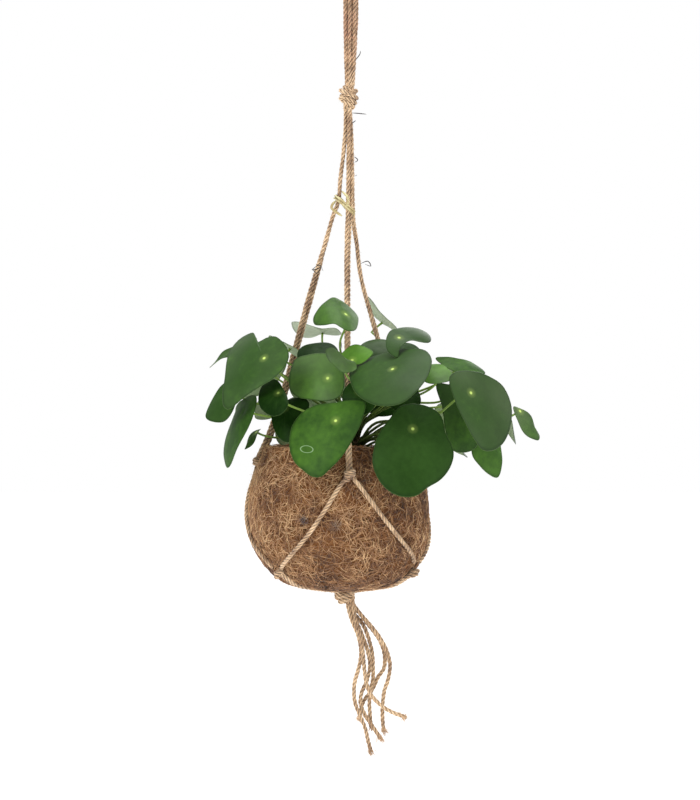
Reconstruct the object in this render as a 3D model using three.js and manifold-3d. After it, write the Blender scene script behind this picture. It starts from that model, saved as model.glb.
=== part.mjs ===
// Chinese money plant in a round coir pot that hangs in a knotted jute hanger.
// Millimetres, +Z up, +X to the right and -Y towards the viewer.
// The origin is where the hook touches the inside of the hanging loop.
import * as THREE from "three";
import { mergeVertices } from "three/addons/utils/BufferGeometryUtils.js";
import Module from "manifold-3d";

const wasm = await Module();
wasm.setup();

// Driving dimensions
const gap = 0.3;
const cordRadius = 2.2;
const cordPitch = 4.7;
const hookRadius = 6;
const potAxis = [-11, 0];
const potWall = 7;
const soilLevel = -489;
const stemAxis = [4, 0];
const stemRadius = 6.5;
const stemTop = -440;
const stemDepth = 40;
const bladeThickness = 1.2;
const rimPoints = 18;
const rimWave = { height: 1.2, count: 3, start: 0.7 };
const smallBlade = 50;
const middleRing = 0.55;
// A petiole leaves the stem more steeply than it climbs, and higher up the more it climbs
const petiole = { radius: 1.35, steeper: 0.35, steepest: 1.4, lowRoot: 4, rootRise: 34 };

// Outer wall of the coir pot from the base to the rim, as radius and height
const potProfile = [
  [30, -619.6], [55, -615], [65, -609.4], [74, -601], [80, -592], [85, -582], [87.8, -571],
  [89, -557], [88.8, -543], [86.8, -525], [82.6, -508], [78, -496], [75.6, -488],
];
// How far the bottom of the pot hangs to the right of its rim
const potSway = 4.5;
const potSwayHeight = -560;
const rimHeight = -482;
const rimRadius = 72;

// Plastic pot inside the coir
const growRim = { radius: 66, height: -484 };
const growBase = { radius: 40, height: -606.8 };
const growWall = 1.5;

// Hanger
const cordClear = 0.9;
const topKnot = {
  centre: [-1.5, 0, -131],
  radius: 7.6,
  height: 23,
  tilts: [[18, 12, 4], [-20, -10, -4]],
};
const upperKnot = { radius: 3.8, height: 12, off: 2.6 };
const lowerKnot = { radius: 3.6, height: 10 };
const bottomKnot = { centre: [-5, 0, -631.6], radius: 9, height: 12.4, tilts: [[8, 14, 0.6]] };

// Each leg: the middle of its pair and how the pair is turned, from the top knot down, its upper
// knot, and the ways of its two single cords, as an angle round the pot and a height
const legs = {
  left_leg: {
    route: [
      [-4.9, 0, -143.3, 90], [-5.1, 0, -160, 90], [-6.9, 0, -186, 90], [-9.6, 0.6, -214, 90],
      [-11.6, 1, -236, 90], [-17, 2, -251, 90], [-26.7, 6, -285, 80], [-37.4, 10.5, -322, 45],
      [-52, 16, -375, 40], [-65, 21, -423, 30], [-80, 26, -468, 20],
    ],
    knot: [-107, -496],
    spread: [
      [[-102, -512], [-93, -533], [-83, -556], [-73, -577], [-64, -594], [-60, -600.4]],
      [[-114, -512], [-126, -535], [-142, -560], [-156, -580], [-166, -594], [-169, -600]],
    ],
  },
  front_leg: {
    route: [
      [-0.2, -5, -143.3, 90], [-0.1, -4.9, -160, 70], [0.5, -3.1, -184, 0], [-0.2, -3.2, -214, 0],
      [-0.8, -4, -240, 30], [-2.4, -14, -285, 60], [-2.6, -29, -332, 60], [-2.4, -45, -382, 60],
      [-1.8, -62, -434, 50], [-1.2, -80, -488, 30],
    ],
    knot: [7, -507],
    spread: [
      [[1, -518], [-6, -536], [-19, -566], [-32, -584], [-45, -596], [-50, -600.4]],
      [[13, -518], [21, -535], [30, -553], [42, -572], [57, -588], [63, -595]],
    ],
  },
  right_leg: {
    route: [
      [-0.1, 5, -143.3, 90], [0, 4.9, -160, 70], [0.9, 3.1, -184, 0], [1.2, 3.4, -214, 0],
      [1.9, 4, -240, 60], [3.4, 5.6, -257, 80], [6.8, 9, -279, 90], [9.8, 14, -305, 90],
      [14.4, 18, -326, 90], [20.2, 22, -346, 80], [32, 31, -388, 70], [42, 39, -432, 60],
      [51, 46, -474, 60],
    ],
    knot: [127, -498],
    spread: [
      [[121, -512], [112, -532], [102, -555], [90, -577], [80, -590], [76, -596]],
      [[133, -512], [143, -532], [156, -558], [170, -580], [180, -596], [182, -600]],
    ],
  },
};

// Lower knots: angle round the pot, height, and distance of the middle from the wall
const lowerKnots = [[-53, -605.4, 8.2], [67, -606, 9.6], [-175, -605.4, 8.2]];

// How the pairs run in under the pot: the share of the way out from the middle, and the height
const underHeights = [[0.88, -611], [0.72, -618.2], [0.5, -621.8], [0.25, -624.4], [0.06, -626.6]];

// The six tails, from the bottom knot to their frayed ends
const tails = [
  [[-2.4, -5, -638.8], [-1, -5.6, -645], [2, -6.2, -655], [7, -6.2, -667], [10, -6, -677],
    [11, -6, -690], [8, -6, -705], [5, -6, -715], [4, -6, -725], [5, -6, -737], [10, -6, -750],
    [15, -6, -762], [18, -5, -775], [21, -5, -786]],
  [[-2.2, -0.2, -638.8], [1.6, -0.6, -647], [8, -1, -660], [14, -1, -675], [18, -1, -687],
    [20, -1, -700], [17, -1, -715], [11.5, -1, -728], [10.5, -1, -738], [15, 0, -750],
    [21, 0, -759], [27, 0, -768], [30, 0, -773]],
  [[-2, 4.6, -638.8], [2.6, 4.4, -647], [13, 4.4, -660], [19, 4, -675], [22, 4, -687], [23, 4, -700],
    [23, 4, -715], [21, 4.4, -725], [19.4, 5, -737], [20, 5, -750], [21, 6, -763]],
  [[2.6, 0, -638.8], [8.6, 0.4, -647], [20, 0.4, -660], [28, 0, -670], [34, 0, -680], [38, 0, -690],
    [40, 0, -700], [38, 0, -715], [34.5, 0, -725], [33, 0, -735], [32.4, 0, -747], [33, 0, -760],
    [34, 0, -766]],
  [[2.8, 4.8, -638.8], [8.4, 6.4, -647], [18, 9, -660], [26, 9.4, -670], [32, 9.4, -681],
    [35, 9.4, -694], [33.6, 9.4, -705], [28, 9.4, -713], [24.6, 9.6, -721], [20.6, 10, -728],
    [15, 10, -735], [11, 10, -744], [9.4, 10, -755]],
  [[2.2, -5, -638.8], [4.4, -8.4, -647], [7, -11.4, -660], [11, -12, -674], [13, -12, -688],
    [14, -12, -700], [15.4, -11, -712], [17.4, -10, -721], [21, -9, -729], [27, -8, -736],
    [34, -7, -742], [43, -6, -747], [50, -6, -749.6], [56, -6, -752]],
];

// The pale tie: a slanting closed turn round the strands, and its two loose ends
const raffia = {
  radius: 0.9,
  turn: [
    [-15.7, 0.6, -232.6], [-13.8, -4.8, -234.4], [-8, -7.4, -239], [-3.2, -10.2, -243.4],
    [1.8, -8.6, -247.4], [4.6, -4.6, -250], [1.4, -1, -249], [-4.8, 3.4, -242.6], [-9.4, 7.8, -236.4],
    [-14.4, 6.4, -233],
  ],
  ends: [
    [[-8, -7.4, -239], [-12, -9.4, -246], [-17, -9, -250], [-19, -8.4, -246]],
    [[-3.2, -10.2, -243.4], [-2, -12, -234], [-8, -11.4, -227]],
  ],
};

const colours = {
  leaf: 0x2f5a2b,
  stem: 0x6d5a3a,
  soil: 0x2a1c12,
  coir: 0x7d5a38,
  plastic: 0x1d1d1c,
  jute: 0xb08a5c,
  raffia: 0xc9c27a,
};

const finishes = {
  leaf: { roughness: 0.42 },
  stem: { roughness: 0.8 },
  soil: { roughness: 0.98 },
  coir: { roughness: 0.95 },
  plastic: { roughness: 0.5 },
  jute: { roughness: 0.9 },
  raffia: { roughness: 0.7 },
};

const vector = (place) => new THREE.Vector3(...place);

// Joins and cuts

function solidOf(geometry) {
  const bare = geometry.index ? geometry.toNonIndexed() : geometry.clone();
  for (const name of Object.keys(bare.attributes)) {
    if (name !== "position") bare.deleteAttribute(name);
  }
  const merged = mergeVertices(bare, 1e-4);
  return new wasm.Manifold(new wasm.Mesh({
    numProp: 3,
    vertProperties: new Float32Array(merged.attributes.position.array),
    triVerts: new Uint32Array(merged.index.array),
  }));
}

function geometryOf(solid) {
  const mesh = solid.getMesh();
  const geometry = new THREE.BufferGeometry();
  geometry.setAttribute("position", new THREE.BufferAttribute(mesh.vertProperties, 3));
  geometry.setIndex(new THREE.BufferAttribute(mesh.triVerts, 1));
  geometry.computeVertexNormals();
  return geometry;
}

function joined(solids) {
  return solids.reduce((whole, piece) => whole.add(piece));
}

const part = new THREE.Group();

function addMesh(name, solid, kind) {
  const material = new THREE.MeshStandardMaterial({
    color: colours[kind],
    roughness: finishes[kind].roughness,
    metalness: 0,
  });
  const mesh = new THREE.Mesh(geometryOf(solid), material);
  mesh.name = name;
  part.add(mesh);
}

// Round sections swept along curves

function roundSection(radius, sides) {
  const corners = [];
  for (let i = 0; i < sides; i += 1) {
    const turn = (2 * Math.PI * (i + 0.5)) / sides;
    corners.push(new THREE.Vector2(radius * Math.cos(turn), radius * Math.sin(turn)));
  }
  return new THREE.Shape(corners);
}

function tube(curve, radius, sides, steps) {
  return new THREE.ExtrudeGeometry(roundSection(radius, sides), { steps, extrudePath: curve });
}

function cordAlong(points, steps) {
  return tube(new THREE.CatmullRomCurve3(points, false, "centripetal"), cordRadius, 8, steps);
}

// Leaves: a peltate blade on a petiole that meets it inside its rim

// at: where the petiole meets the blade. tip and face: the directions that the tip and the upper
// face point in. long and wide: the blade. off: its middle from the petiole, along the blade and
// across it. droop: how far the ends and the sides bend down.
// rim: places of the rim read from the photo, right of and above the petiole; a blade without
// them is an oval. root: height of the petiole's foot above the soil. lean: how far its foot turns
// round the stem. via: a place that the petiole passes.
const leaves = [
  { at: [-4, -68, -351], tip: [-10, -1, 0], face: [0, -6, 8], long: 43, wide: 50, off: [12, 0],
    droop: [12, 3], root: 32, via: [-10, -46, -380],
    rim: [[-12, 18], [-4, 14], [4, 7], [11, -1], [12, -9], [8, -16], [1, -18], [-5, -15],
      [-11, -11], [-20, -11], [-30, -10], [-32, -4], [-28, 3], [-20, 12]] },
  { at: [-28, 58, -366], tip: [-10, 1, 1], face: [-2, 3, 9], long: 50, wide: 42, off: [7, 0],
    droop: [-1, 1], root: 26,
    rim: [[-31.5, 6.5], [-30.5, 9.5], [-24.5, 10.2], [-17, 8.3], [-10.8, 6.3], [-4.6, 3.8],
      [0, 2.6], [6, 2.9], [13.2, 3.7], [17.5, 1.7], [19, -1], [17, -2.5], [11, -3], [5, -2.7],
      [0, -2.4], [-4.4, -3.2], [-10, -5], [-16, -5], [-21, -3.5], [-26, -0.5], [-30, 3.5]] },
  { at: [33.4, 52, -355.8], tip: [-7, 1, 7], face: [7, 2.5, 7], long: 46, wide: 42, off: [5, 0],
    droop: [0.5, 0.5], root: 27, via: [27.5, 46, -371],
    rim: [[-3, 10.2], [-5.6, 14.4], [-8.6, 18.6], [-12.4, 22.4], [-16.3, 24.4], [-16.8, 19],
      [-12.6, 13.2], [-9.2, 7.9], [-5, 2.5], [-1.5, -1.4], [4, -4.8], [10, -7.6], [14.2, -6.6],
      [9.4, -2.1], [4.4, 1.8], [0.4, 6]] },
  { at: [48, -70, -374], tip: [10, 2, -2], face: [1, -6, 8], long: 48, wide: 36, off: [8, 0],
    droop: [5, 2], root: 34, lean: 6, via: [44, -50, -401],
    rim: [[-2, 10], [8, 12], [20, 9], [29, 4], [32, -1], [30, -4], [20, -4], [11, -4], [5, -7],
      [0, -12], [-2, -20], [-7, -17], [-12, -11], [-13, -2], [-9, 6]] },
  { at: [41, -103, -405], tip: [2, -8, -5], face: [-3, -6, 8], long: 88, wide: 82, off: [10, -2.5],
    droop: [5, 4],
    rim: [[-25, 11], [-7, 17], [8, 20], [21, 20], [33, 17], [38, 9], [36, 0], [30, -12], [22, -23],
      [12, -32], [0, -36], [-16, -35], [-28, -29], [-37, -21], [-41, -10], [-39, 1]] },
  { at: [29, -5, -382.5], tip: [1, -6, -7], face: [1, -7, 7], long: 42, wide: 42, off: [6, 0],
    droop: [4, 3] },
  { at: [57, -33, -384], tip: [3, -5, -5], face: [3, -5, 8], long: 36, wide: 34, off: [5, 0],
    droop: [3, 2], root: 27, lean: -14 },
  { at: [2, -68.5, -396], tip: [6, 3, 4.5], face: [0, -6, 8], long: 36, wide: 35, off: [11, 0],
    droop: [2, 1], root: 24, lean: 25, via: [8, -56, -414],
    rim: [[-11, 7], [-5, 12], [3, 15], [12, 14], [18, 11], [21, 6], [15, 0], [5, -4], [-1, -3],
      [-7, 1]] },
  { at: [34, 16, -430], tip: [1, -4, -8], face: [1, -8, 5], long: 34, wide: 42, off: [6, 0],
    droop: [3, 3], root: 34 },
  { at: [-31.5, -14.5, -384], tip: [0, -8, -6], face: [0, -6, 8], long: 46, wide: 42, off: [6, 0],
    droop: [4, 4] },
  { at: [-22, -60, -413.6], tip: [-9, 2, -4], face: [-4, -9, 4], long: 58, wide: 50, off: [12, 0],
    droop: [5, 4], root: 24, lean: -25,
    rim: [[-32, 20], [-21, 24], [-9, 25], [2, 23], [11, 17], [15, 8], [16, -5], [14, -16],
      [8, -21], [-2, -23], [-18, -21], [-30, -18], [-37, -12], [-38, -2], [-36, 10]] },
  { at: [-84, -70, -394], tip: [-7, 0, -7], face: [-5, -7, 5], long: 88, wide: 66, off: [18, 4],
    droop: [6, 5], lean: -15, via: [-62, -35, -415],
    rim: [[-13, 26.4], [-9, 21], [-6, 16.5], [-1, 20], [9, 22], [19, 15], [24, 8], [25, 0], [21, -9],
      [11, -19], [-3, -27], [-17, -37], [-27, -46], [-34, -51], [-39, -48], [-41, -38], [-40, -21],
      [-39, -3], [-35, 9], [-27, 20], [-18, 25]] },
  { at: [-109.5, -8, -379], tip: [-8, 0, -7], face: [-5, -5, 7], long: 50, wide: 40, off: [10, 0],
    droop: [1, 1], lean: -14,
    rim: [[-11, -4.5], [-18, -8.5], [-26, -17.5], [-31.5, -24], [-24, -19], [-15, -14], [-6, -13],
      [2, -12], [7, -4], [5, 2], [0, 1.5], [-5, -1.5]] },
  { at: [-118, -38, -425], tip: [-5, -3, -8], face: [-5, -6, 6], long: 58, wide: 50, off: [8, 0],
    droop: [4, 3],
    rim: [[-4, 7], [-16, -5], [-22, -14], [-25, -25], [-22, -30], [-14, -32], [-5, -30], [4, -20],
      [8, -6], [4, 5]] },
  { at: [-104, -53, -446], tip: [-3, 0, -10], face: [-9, -4, 3], long: 80, wide: 62, off: [20, 0],
    droop: [5, 4], root: 8,
    rim: [[6, 16], [11, 15], [12, 8], [8, -7], [1, -25], [-7, -41], [-13, -53], [-17, -56],
      [-21, -52], [-23, -40], [-22, -23], [-18, -10], [-10, 3], [-2, 11]] },
  { at: [-94, 5, -467], tip: [-6, 0, -9], face: [-8, -3, 5], long: 26, wide: 20, off: [8, 0],
    droop: [2, 1] },
  { at: [-70, -80, -428], tip: [-6, -2, -6], face: [-5, -8, 5], long: 37, wide: 34, off: [3, 0],
    droop: [3, 2], root: 14, via: [-18, -66, -455],
    rim: [[-15, 10], [-7, 13], [0, 11], [5, 4], [9, -4], [10, -14], [5, -21], [-3, -23],
      [-11, -20], [-18, -13], [-19, -1]] },
  { at: [-64, -45, -443], tip: [0, -4, -8], face: [-3, -8, 5], long: 54, wide: 58, off: [10, 10],
    droop: [4, 3], root: 5, lean: 20,
    rim: [[4, 9], [16, 11], [24, 5], [22, -7], [16, -20], [9, -31], [2, -34], [-6, -29],
      [-12, -18], [-13, -7], [-7, 3]] },
  { at: [-14, -94, -455], tip: [-3, -3, -9], face: [-3, -9, 4], long: 82, wide: 72, off: [19, -5],
    droop: [4, 4], root: 9,
    rim: [[-2, 18], [9, 20], [22, 20], [29, 18], [28.4, 8], [24.5, -4], [19, -14], [8.5, -31],
      [1.5, -39.5], [-7, -48], [-14, -54.3], [-22, -54.6], [-31, -48.5], [-40, -40], [-45, -27],
      [-45, -15], [-42, -4], [-34, 6], [-19, 15]] },
  { at: [9, -79, -427], tip: [0, -4, -9], face: [-1, -9, 4], long: 40, wide: 34, off: [5, 0],
    droop: [3, 2], root: 14.5 },
  { at: [61, -85, -463], tip: [-1, -3, -9], face: [1, -9, 3], long: 94, wide: 84, off: [21, 0],
    droop: [5, 5],
    rim: [[-12, 22], [0, 25], [13, 23], [24, 17], [29, 10], [32, -4], [38, -16], [40, -25],
      [36, -38], [27, -49], [14, -57], [3, -65], [-10, -66], [-22, -61], [-33, -49], [-39, -34],
      [-38, -19], [-33, -5], [-23, 9]] },
  { at: [48, -47, -424], tip: [4, -5, -7], face: [2, -7, 7], long: 44, wide: 40, off: [6, 0],
    droop: [3, 2], root: 19 },
  { at: [87, -56, -410], tip: [-9, -3, -3], face: [0, -6, 8], long: 36, wide: 30, off: [3, 0],
    droop: [2, 2], root: 23.5,
    rim: [[-7, 11], [2, 10], [9, 6], [14, 1], [11, -6], [3, -9], [-6, -9], [-14, -6], [-14, 0],
      [-11, 6]] },
  { at: [107, -22, -398.5], tip: [9, 3, 0], face: [0, -5, 8], long: 48, wide: 44, off: [4, 0],
    droop: [4, 2], root: 27,
    rim: [[-21, 7], [-12, 6], [0, 4], [13, 3], [21, -2], [27, -11], [16, -13], [3, -10], [-9, -7],
      [-17, -2]] },
  { at: [118, -75, -428], tip: [4, 0, -9], face: [6, -7, 4], long: 88, wide: 82, off: [18, 15],
    droop: [5, 5], root: 11, lean: -8, via: [78, -64, -454],
    rim: [[-21, 16], [-14, 21], [-2, 22], [10, 20], [21, 15], [31, 8], [38, -2], [42, -13],
      [42, -27], [38, -40], [30, -51], [20, -57], [11, -56], [4, -46], [-4, -32], [-13, -16],
      [-19, -2], [-22, 9]] },
  { at: [105, -41, -443], tip: [3, 0, -9], face: [4, -8, 4], long: 70, wide: 50, off: [10, 0],
    droop: [4, 3], root: 9,
    rim: [[-19, 24], [-9, 24], [10, 16], [20, -8], [22, -33], [17, -41], [7, -44], [-4, -41],
      [-9, -29], [-13, -15], [-15, 2]] },
  { at: [133, -16, -470], tip: [3, 0, -9], face: [5, -6, 6], long: 66, wide: 44, off: [12, 0],
    droop: [4, 3], root: 13, via: [70, -10, -452],
    rim: [[-6, 7], [6, 7], [16, 3], [19, -19], [18, -31], [15, -42], [6, -39], [-5, -31],
      [-13, -19]] },
  { at: [170, -5, -446], tip: [6, 2, -8], face: [6, -6, 4], long: 54, wide: 42, off: [12, 0],
    droop: [4, 2], root: 9, lean: 18, via: [98, 4, -462],
    rim: [[-6, 5], [2, 2], [11, -6], [16, -16], [20, -25], [17, -30], [10, -27], [3, -20],
      [-3, -11], [-6, -4]] },
  { at: [160, 24, -452], tip: [3, 0, -9], face: [9, 1, 3], long: 44, wide: 40, off: [7, 0],
    droop: [3, 3], root: 15, lean: 4, via: [85, 15, -447] },
  { at: [96, -8, -474], tip: [8, 0, -6], face: [6, 1, 8], long: 40, wide: 34, off: [8, 0],
    droop: [3, 2], root: 4, via: [60, -5, -471] },
  { at: [-59, 0, -383], tip: [-8, 2, 5], face: [3, 3, 9], long: 43, wide: 27, off: [4, 0],
    droop: [3, 2], via: [-47.5, -3, -406] },
  { at: [-90, 50, -397], tip: [-5, 5, -7], face: [-5, 7, 6], long: 70, wide: 64, off: [12, 0],
    droop: [5, 4] },
  { at: [-30, 80, -404], tip: [-1, 6, -7], face: [-1, 8, 6], long: 70, wide: 64, off: [12, 0],
    droop: [5, 4] },
  { at: [36, 78, -406], tip: [1, 7, -7], face: [1, 7, 7], long: 76, wide: 70, off: [12, 0],
    droop: [5, 4] },
  { at: [122, 56, -431], tip: [4, 4, -8], face: [6, 6, 6], long: 70, wide: 62, off: [12, 0],
    droop: [5, 4], root: 26, lean: 8 },
  { at: [62, 100, -474], tip: [1, 3, -9], face: [2, 9, 4], long: 80, wide: 74, off: [14, 0],
    droop: [5, 4] },
  { at: [-29, 98, -464], tip: [-1, 4, -9], face: [-2, 9, 4], long: 76, wide: 64, off: [12, 0],
    droop: [5, 4] },
  { at: [-80, 44, -434], tip: [-3, 6, -7], face: [-6, 7, 5], long: 44, wide: 38, off: [6, 0],
    droop: [3, 2] },
  { at: [-2, 50, -398], tip: [1, 9, -5], face: [0, 5, 9], long: 54, wide: 50, off: [8, 0],
    droop: [4, 3] },
  { at: [108, 70, -452], tip: [3, 5, -8], face: [5, 7, 6], long: 62, wide: 56, off: [10, 0],
    droop: [4, 3], root: 7 },
  { at: [-56, 70, -447], tip: [-2, 3, -9], face: [-5, 8, 4], long: 58, wide: 46, off: [10, 0],
    droop: [4, 3] },
  { at: [113, 14, -404], tip: [6, 6, -3], face: [3, 3, 9], long: 46, wide: 42, off: [6, 0],
    droop: [4, 2], root: 31, via: [92, 10, -436] },
  { at: [1, -83, -402], tip: [-8, -1, 5], face: [1, -8, 6], long: 34, wide: 30, off: [10, 0],
    droop: [3, 2], root: 20, via: [7, -66, -424],
    rim: [[-24, 17], [-19, 18], [-14, 15], [-5, 8], [4, 4], [5, -3], [-1, -6], [-8, -6],
      [-16, -1], [-22, 5]] },
];

function bladeFrame(leaf) {
  const along = vector(leaf.tip).normalize();
  const up = vector(leaf.face);
  up.addScaledVector(along, -up.dot(along)).normalize();
  return { along, up, across: new THREE.Vector3().crossVectors(up, along) };
}

// How far the blade bends down at a place, from the middle of its upper face
function droopAt(leaf, u, v) {
  const p = (2 * (u - leaf.off[0])) / leaf.long;
  const q = (2 * (v - leaf.off[1])) / leaf.wide;
  return leaf.droop[0] * p * p + leaf.droop[1] * q * q;
}

// The place on the blade, along and across, that the front view shows this far right of and above
// the petiole; each round allows for the droop there
function placeSeenAt(leaf, frame, [right, high]) {
  const { along, across, up } = frame;
  const share = along.x * across.z - along.z * across.x;
  let [u, v] = [0, 0];
  for (let round = 0; round < 6; round += 1) {
    const rise = droopAt(leaf, 0, 0) - droopAt(leaf, u, v);
    const x = right - rise * up.x;
    const z = high - rise * up.z;
    u = (x * across.z - z * across.x) / share;
    v = (z * along.x - x * along.z) / share;
  }
  return new THREE.Vector3(u, v, 0);
}

// Places of the rim, along and across the blade, anticlockwise as seen from its upper face
function rimOf(leaf, frame) {
  if (leaf.rim) {
    const places = leaf.rim.map((place) => placeSeenAt(leaf, frame, place));
    if (THREE.ShapeUtils.area(places) < 0) places.reverse();
    const curve = new THREE.CatmullRomCurve3(places, true, "centripetal");
    return curve.getSpacedPoints(rimPoints).slice(0, -1).map(({ x, y }) => [x, y]);
  }
  return Array.from({ length: rimPoints }, (_, i) => {
    const turn = (2 * Math.PI * i) / rimPoints;
    return [
      leaf.off[0] + (leaf.long * Math.cos(turn)) / 2,
      leaf.off[1] + (leaf.wide * Math.sin(turn)) / 2,
    ];
  });
}

function bladePoint(leaf, frame, [u, v], wave) {
  const rise = wave + droopAt(leaf, 0, 0) - droopAt(leaf, u, v);
  return vector(leaf.at)
    .addScaledVector(frame.along, u)
    .addScaledVector(frame.across, v)
    .addScaledVector(frame.up, rise);
}

function bladeGeometry(leaf, frame) {
  const small = leaf.long < smallBlade;
  const rim = rimOf(leaf, frame);
  const layer = [bladePoint(leaf, frame, [0, 0], 0)];
  for (const reach of small ? [1] : [middleRing, 1]) {
    rim.forEach(([u, v], i) => {
      const turn = (2 * Math.PI * i) / rimPoints;
      const wave = rimWave.height * reach ** 3 * Math.sin(rimWave.count * turn + rimWave.start);
      layer.push(bladePoint(leaf, frame, [reach * u, reach * v], wave));
    });
  }
  const positions = [];
  for (const side of [0.5, -0.5]) {
    for (const point of layer) {
      positions.push(...point.clone().addScaledVector(frame.up, side * bladeThickness));
    }
  }
  const below = layer.length;
  const indices = [];
  const bothFaces = (a, b, c) => indices.push(a, b, c, below + a, below + c, below + b);
  for (let i = 0; i < rimPoints; i += 1) {
    const next = (i + 1) % rimPoints;
    const inner = [1 + i, 1 + next];
    const outer = small ? inner : [1 + rimPoints + i, 1 + rimPoints + next];
    bothFaces(0, inner[0], inner[1]);
    if (!small) {
      bothFaces(inner[0], outer[0], outer[1]);
      bothFaces(inner[0], outer[1], inner[1]);
    }
    indices.push(outer[0], below + outer[0], below + outer[1]);
    indices.push(outer[0], below + outer[1], outer[1]);
  }
  const geometry = new THREE.BufferGeometry();
  geometry.setAttribute("position", new THREE.Float32BufferAttribute(positions, 3));
  geometry.setIndex(indices);
  return geometry;
}

function petioleCurve(leaf, frame) {
  const spot = vector(leaf.at);
  const axis = new THREE.Vector3(stemAxis[0], stemAxis[1], 0);
  const outward = new THREE.Vector3(spot.x - axis.x, spot.y - axis.y, 0);
  const distance = outward.length();
  const lean = THREE.MathUtils.degToRad(leaf.lean ?? 0);
  outward.normalize().applyAxisAngle(new THREE.Vector3(0, 0, 1), lean);
  const climb = Math.atan2(spot.z - soilLevel, distance);
  const rootHeight = leaf.root ?? petiole.lowRoot + petiole.rootRise * (climb / (Math.PI / 2));
  const foot = axis.clone().addScaledVector(outward, stemRadius + gap + 0.75 * petiole.radius);
  foot.z = soilLevel + rootHeight;
  const span = spot.distanceTo(foot);
  const steep = Math.min(petiole.steepest, climb + petiole.steeper);
  const leaving = outward.clone().multiplyScalar(Math.cos(steep));
  leaving.z = Math.sin(steep);
  if (leaf.via) {
    const below = spot.clone().addScaledVector(frame.up, -0.14 * span);
    const above = foot.clone().addScaledVector(leaving, 0.2 * span);
    const route = [spot, below, vector(leaf.via), above, foot];
    return new THREE.CatmullRomCurve3(route, false, "centripetal");
  }
  const nearBlade = spot.clone().addScaledVector(frame.up, -0.3 * span);
  const nearFoot = foot.clone().addScaledVector(leaving, 0.35 * span);
  return new THREE.CubicBezierCurve3(spot, nearBlade, nearFoot, foot);
}

function makeLeaf(leaf) {
  const frame = bladeFrame(leaf);
  return joined([
    solidOf(bladeGeometry(leaf, frame)),
    solidOf(tube(petioleCurve(leaf, frame), petiole.radius, 5, 6)),
  ]);
}

leaves.forEach((leaf, i) => {
  addMesh(`leaf_${String(i + 1).padStart(2, "0")}`, makeLeaf(leaf), "leaf");
});

// Main stem: a short woody trunk with a rounded crown

function latheSolid(profile, segments, place = [0, 0, 0]) {
  const geometry = new THREE.LatheGeometry(profile.map(([r, z]) => new THREE.Vector2(r, z)), segments);
  geometry.rotateX(Math.PI / 2);
  geometry.translate(...place);
  return solidOf(geometry);
}

function stemSolid(grow) {
  const radius = stemRadius + grow;
  return latheSolid([
    [0, soilLevel - stemDepth - grow], [radius * 0.8, soilLevel - stemDepth - grow],
    [radius, soilLevel], [radius, stemTop], [radius * 0.7, stemTop + 5], [0, stemTop + 7],
  ], 12, [...stemAxis, 0]);
}

addMesh("main_stem", stemSolid(0), "stem");

// Pot: coir shell, plastic pot inside it, soil inside that

// The same outline moved inwards by the wall
function insetProfile(profile, wall) {
  return profile.map(([r, z], i) => {
    const before = profile[Math.max(0, i - 1)];
    const after = profile[Math.min(profile.length - 1, i + 1)];
    const run = new THREE.Vector2(after[0] - before[0], after[1] - before[1]).normalize();
    return [r - wall * run.y, z + wall * run.x];
  });
}

// The soft coir pot isn't quite round, and its lower part hangs a little to one side
function unevenness(turn, height) {
  return 1 + 0.006 * Math.sin(3 * turn + 1) + 0.004 * Math.sin(5 * turn + height / 25);
}

function swayAt(height) {
  return potSway * THREE.MathUtils.clamp((potSwayHeight - height) / 60, 0, 1) ** 1.5;
}

function makeCoirPot() {
  const inner = insetProfile(potProfile, potWall).filter((_, i) => i % 2 === 0).reverse();
  const base = [[0, potProfile[0][1] - 1]];
  const rim = [
    [rimRadius + 3, rimHeight - 2], [rimRadius, rimHeight], [rimRadius - 3, rimHeight - 0.4],
    [rimRadius - 4.6, rimHeight - 3],
  ];
  const floor = [[0, base[0][1] + potWall]];
  const solid = latheSolid([...base, ...potProfile, ...rim, ...inner, ...floor], 28);
  return solid.warp((place) => {
    const turn = Math.atan2(place[0], -place[1]);
    const share = unevenness(turn, place[2]);
    place[0] = potAxis[0] + swayAt(place[2]) + place[0] * share;
    place[1] = potAxis[1] + place[1] * share;
  });
}

function makeGrowPot() {
  return latheSolid([
    [0, growBase.height], [growBase.radius, growBase.height],
    [growRim.radius, growRim.height], [growRim.radius - growWall, growRim.height],
    [growBase.radius - growWall, growBase.height + growWall], [0, growBase.height + growWall],
  ], 24, [...potAxis, 0]);
}

function makeSoil() {
  const clear = growWall + gap + 0.3;
  const top = soilLevel - 1;
  const share = (top - growBase.height) / (growRim.height - growBase.height);
  const topRadius = THREE.MathUtils.lerp(growBase.radius, growRim.radius, share) - clear;
  const soil = latheSolid([
    [0, growBase.height + clear], [growBase.radius - clear, growBase.height + clear],
    [topRadius, top], [0.6 * topRadius, soilLevel + 1.5], [0, soilLevel + 1],
  ], 24, [...potAxis, 0]);
  return soil.subtract(stemSolid(gap));
}

addMesh("coir_pot", makeCoirPot(), "coir");
addMesh("grow_pot", makeGrowPot(), "plastic");
addMesh("soil", makeSoil(), "soil");

// Knots: a rounded core with turns of cord round it

function knot(centre, radius, height, tilts) {
  const half = height / 2;
  const core = latheSolid([
    [0, -half], [radius * 0.8, -half], [radius, -half * 0.4], [radius, half * 0.4],
    [radius * 0.8, half], [0, half],
  ], 10, centre);
  return tilts.reduce((whole, [turnX, turnY, lift]) => {
    const wrap = new THREE.TorusGeometry(radius, cordRadius * 0.85, 5, 12);
    wrap.rotateX(THREE.MathUtils.degToRad(turnX));
    wrap.rotateY(THREE.MathUtils.degToRad(turnY));
    wrap.translate(centre[0], centre[1], centre[2] + lift);
    return whole.add(solidOf(wrap));
  }, core);
}

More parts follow.
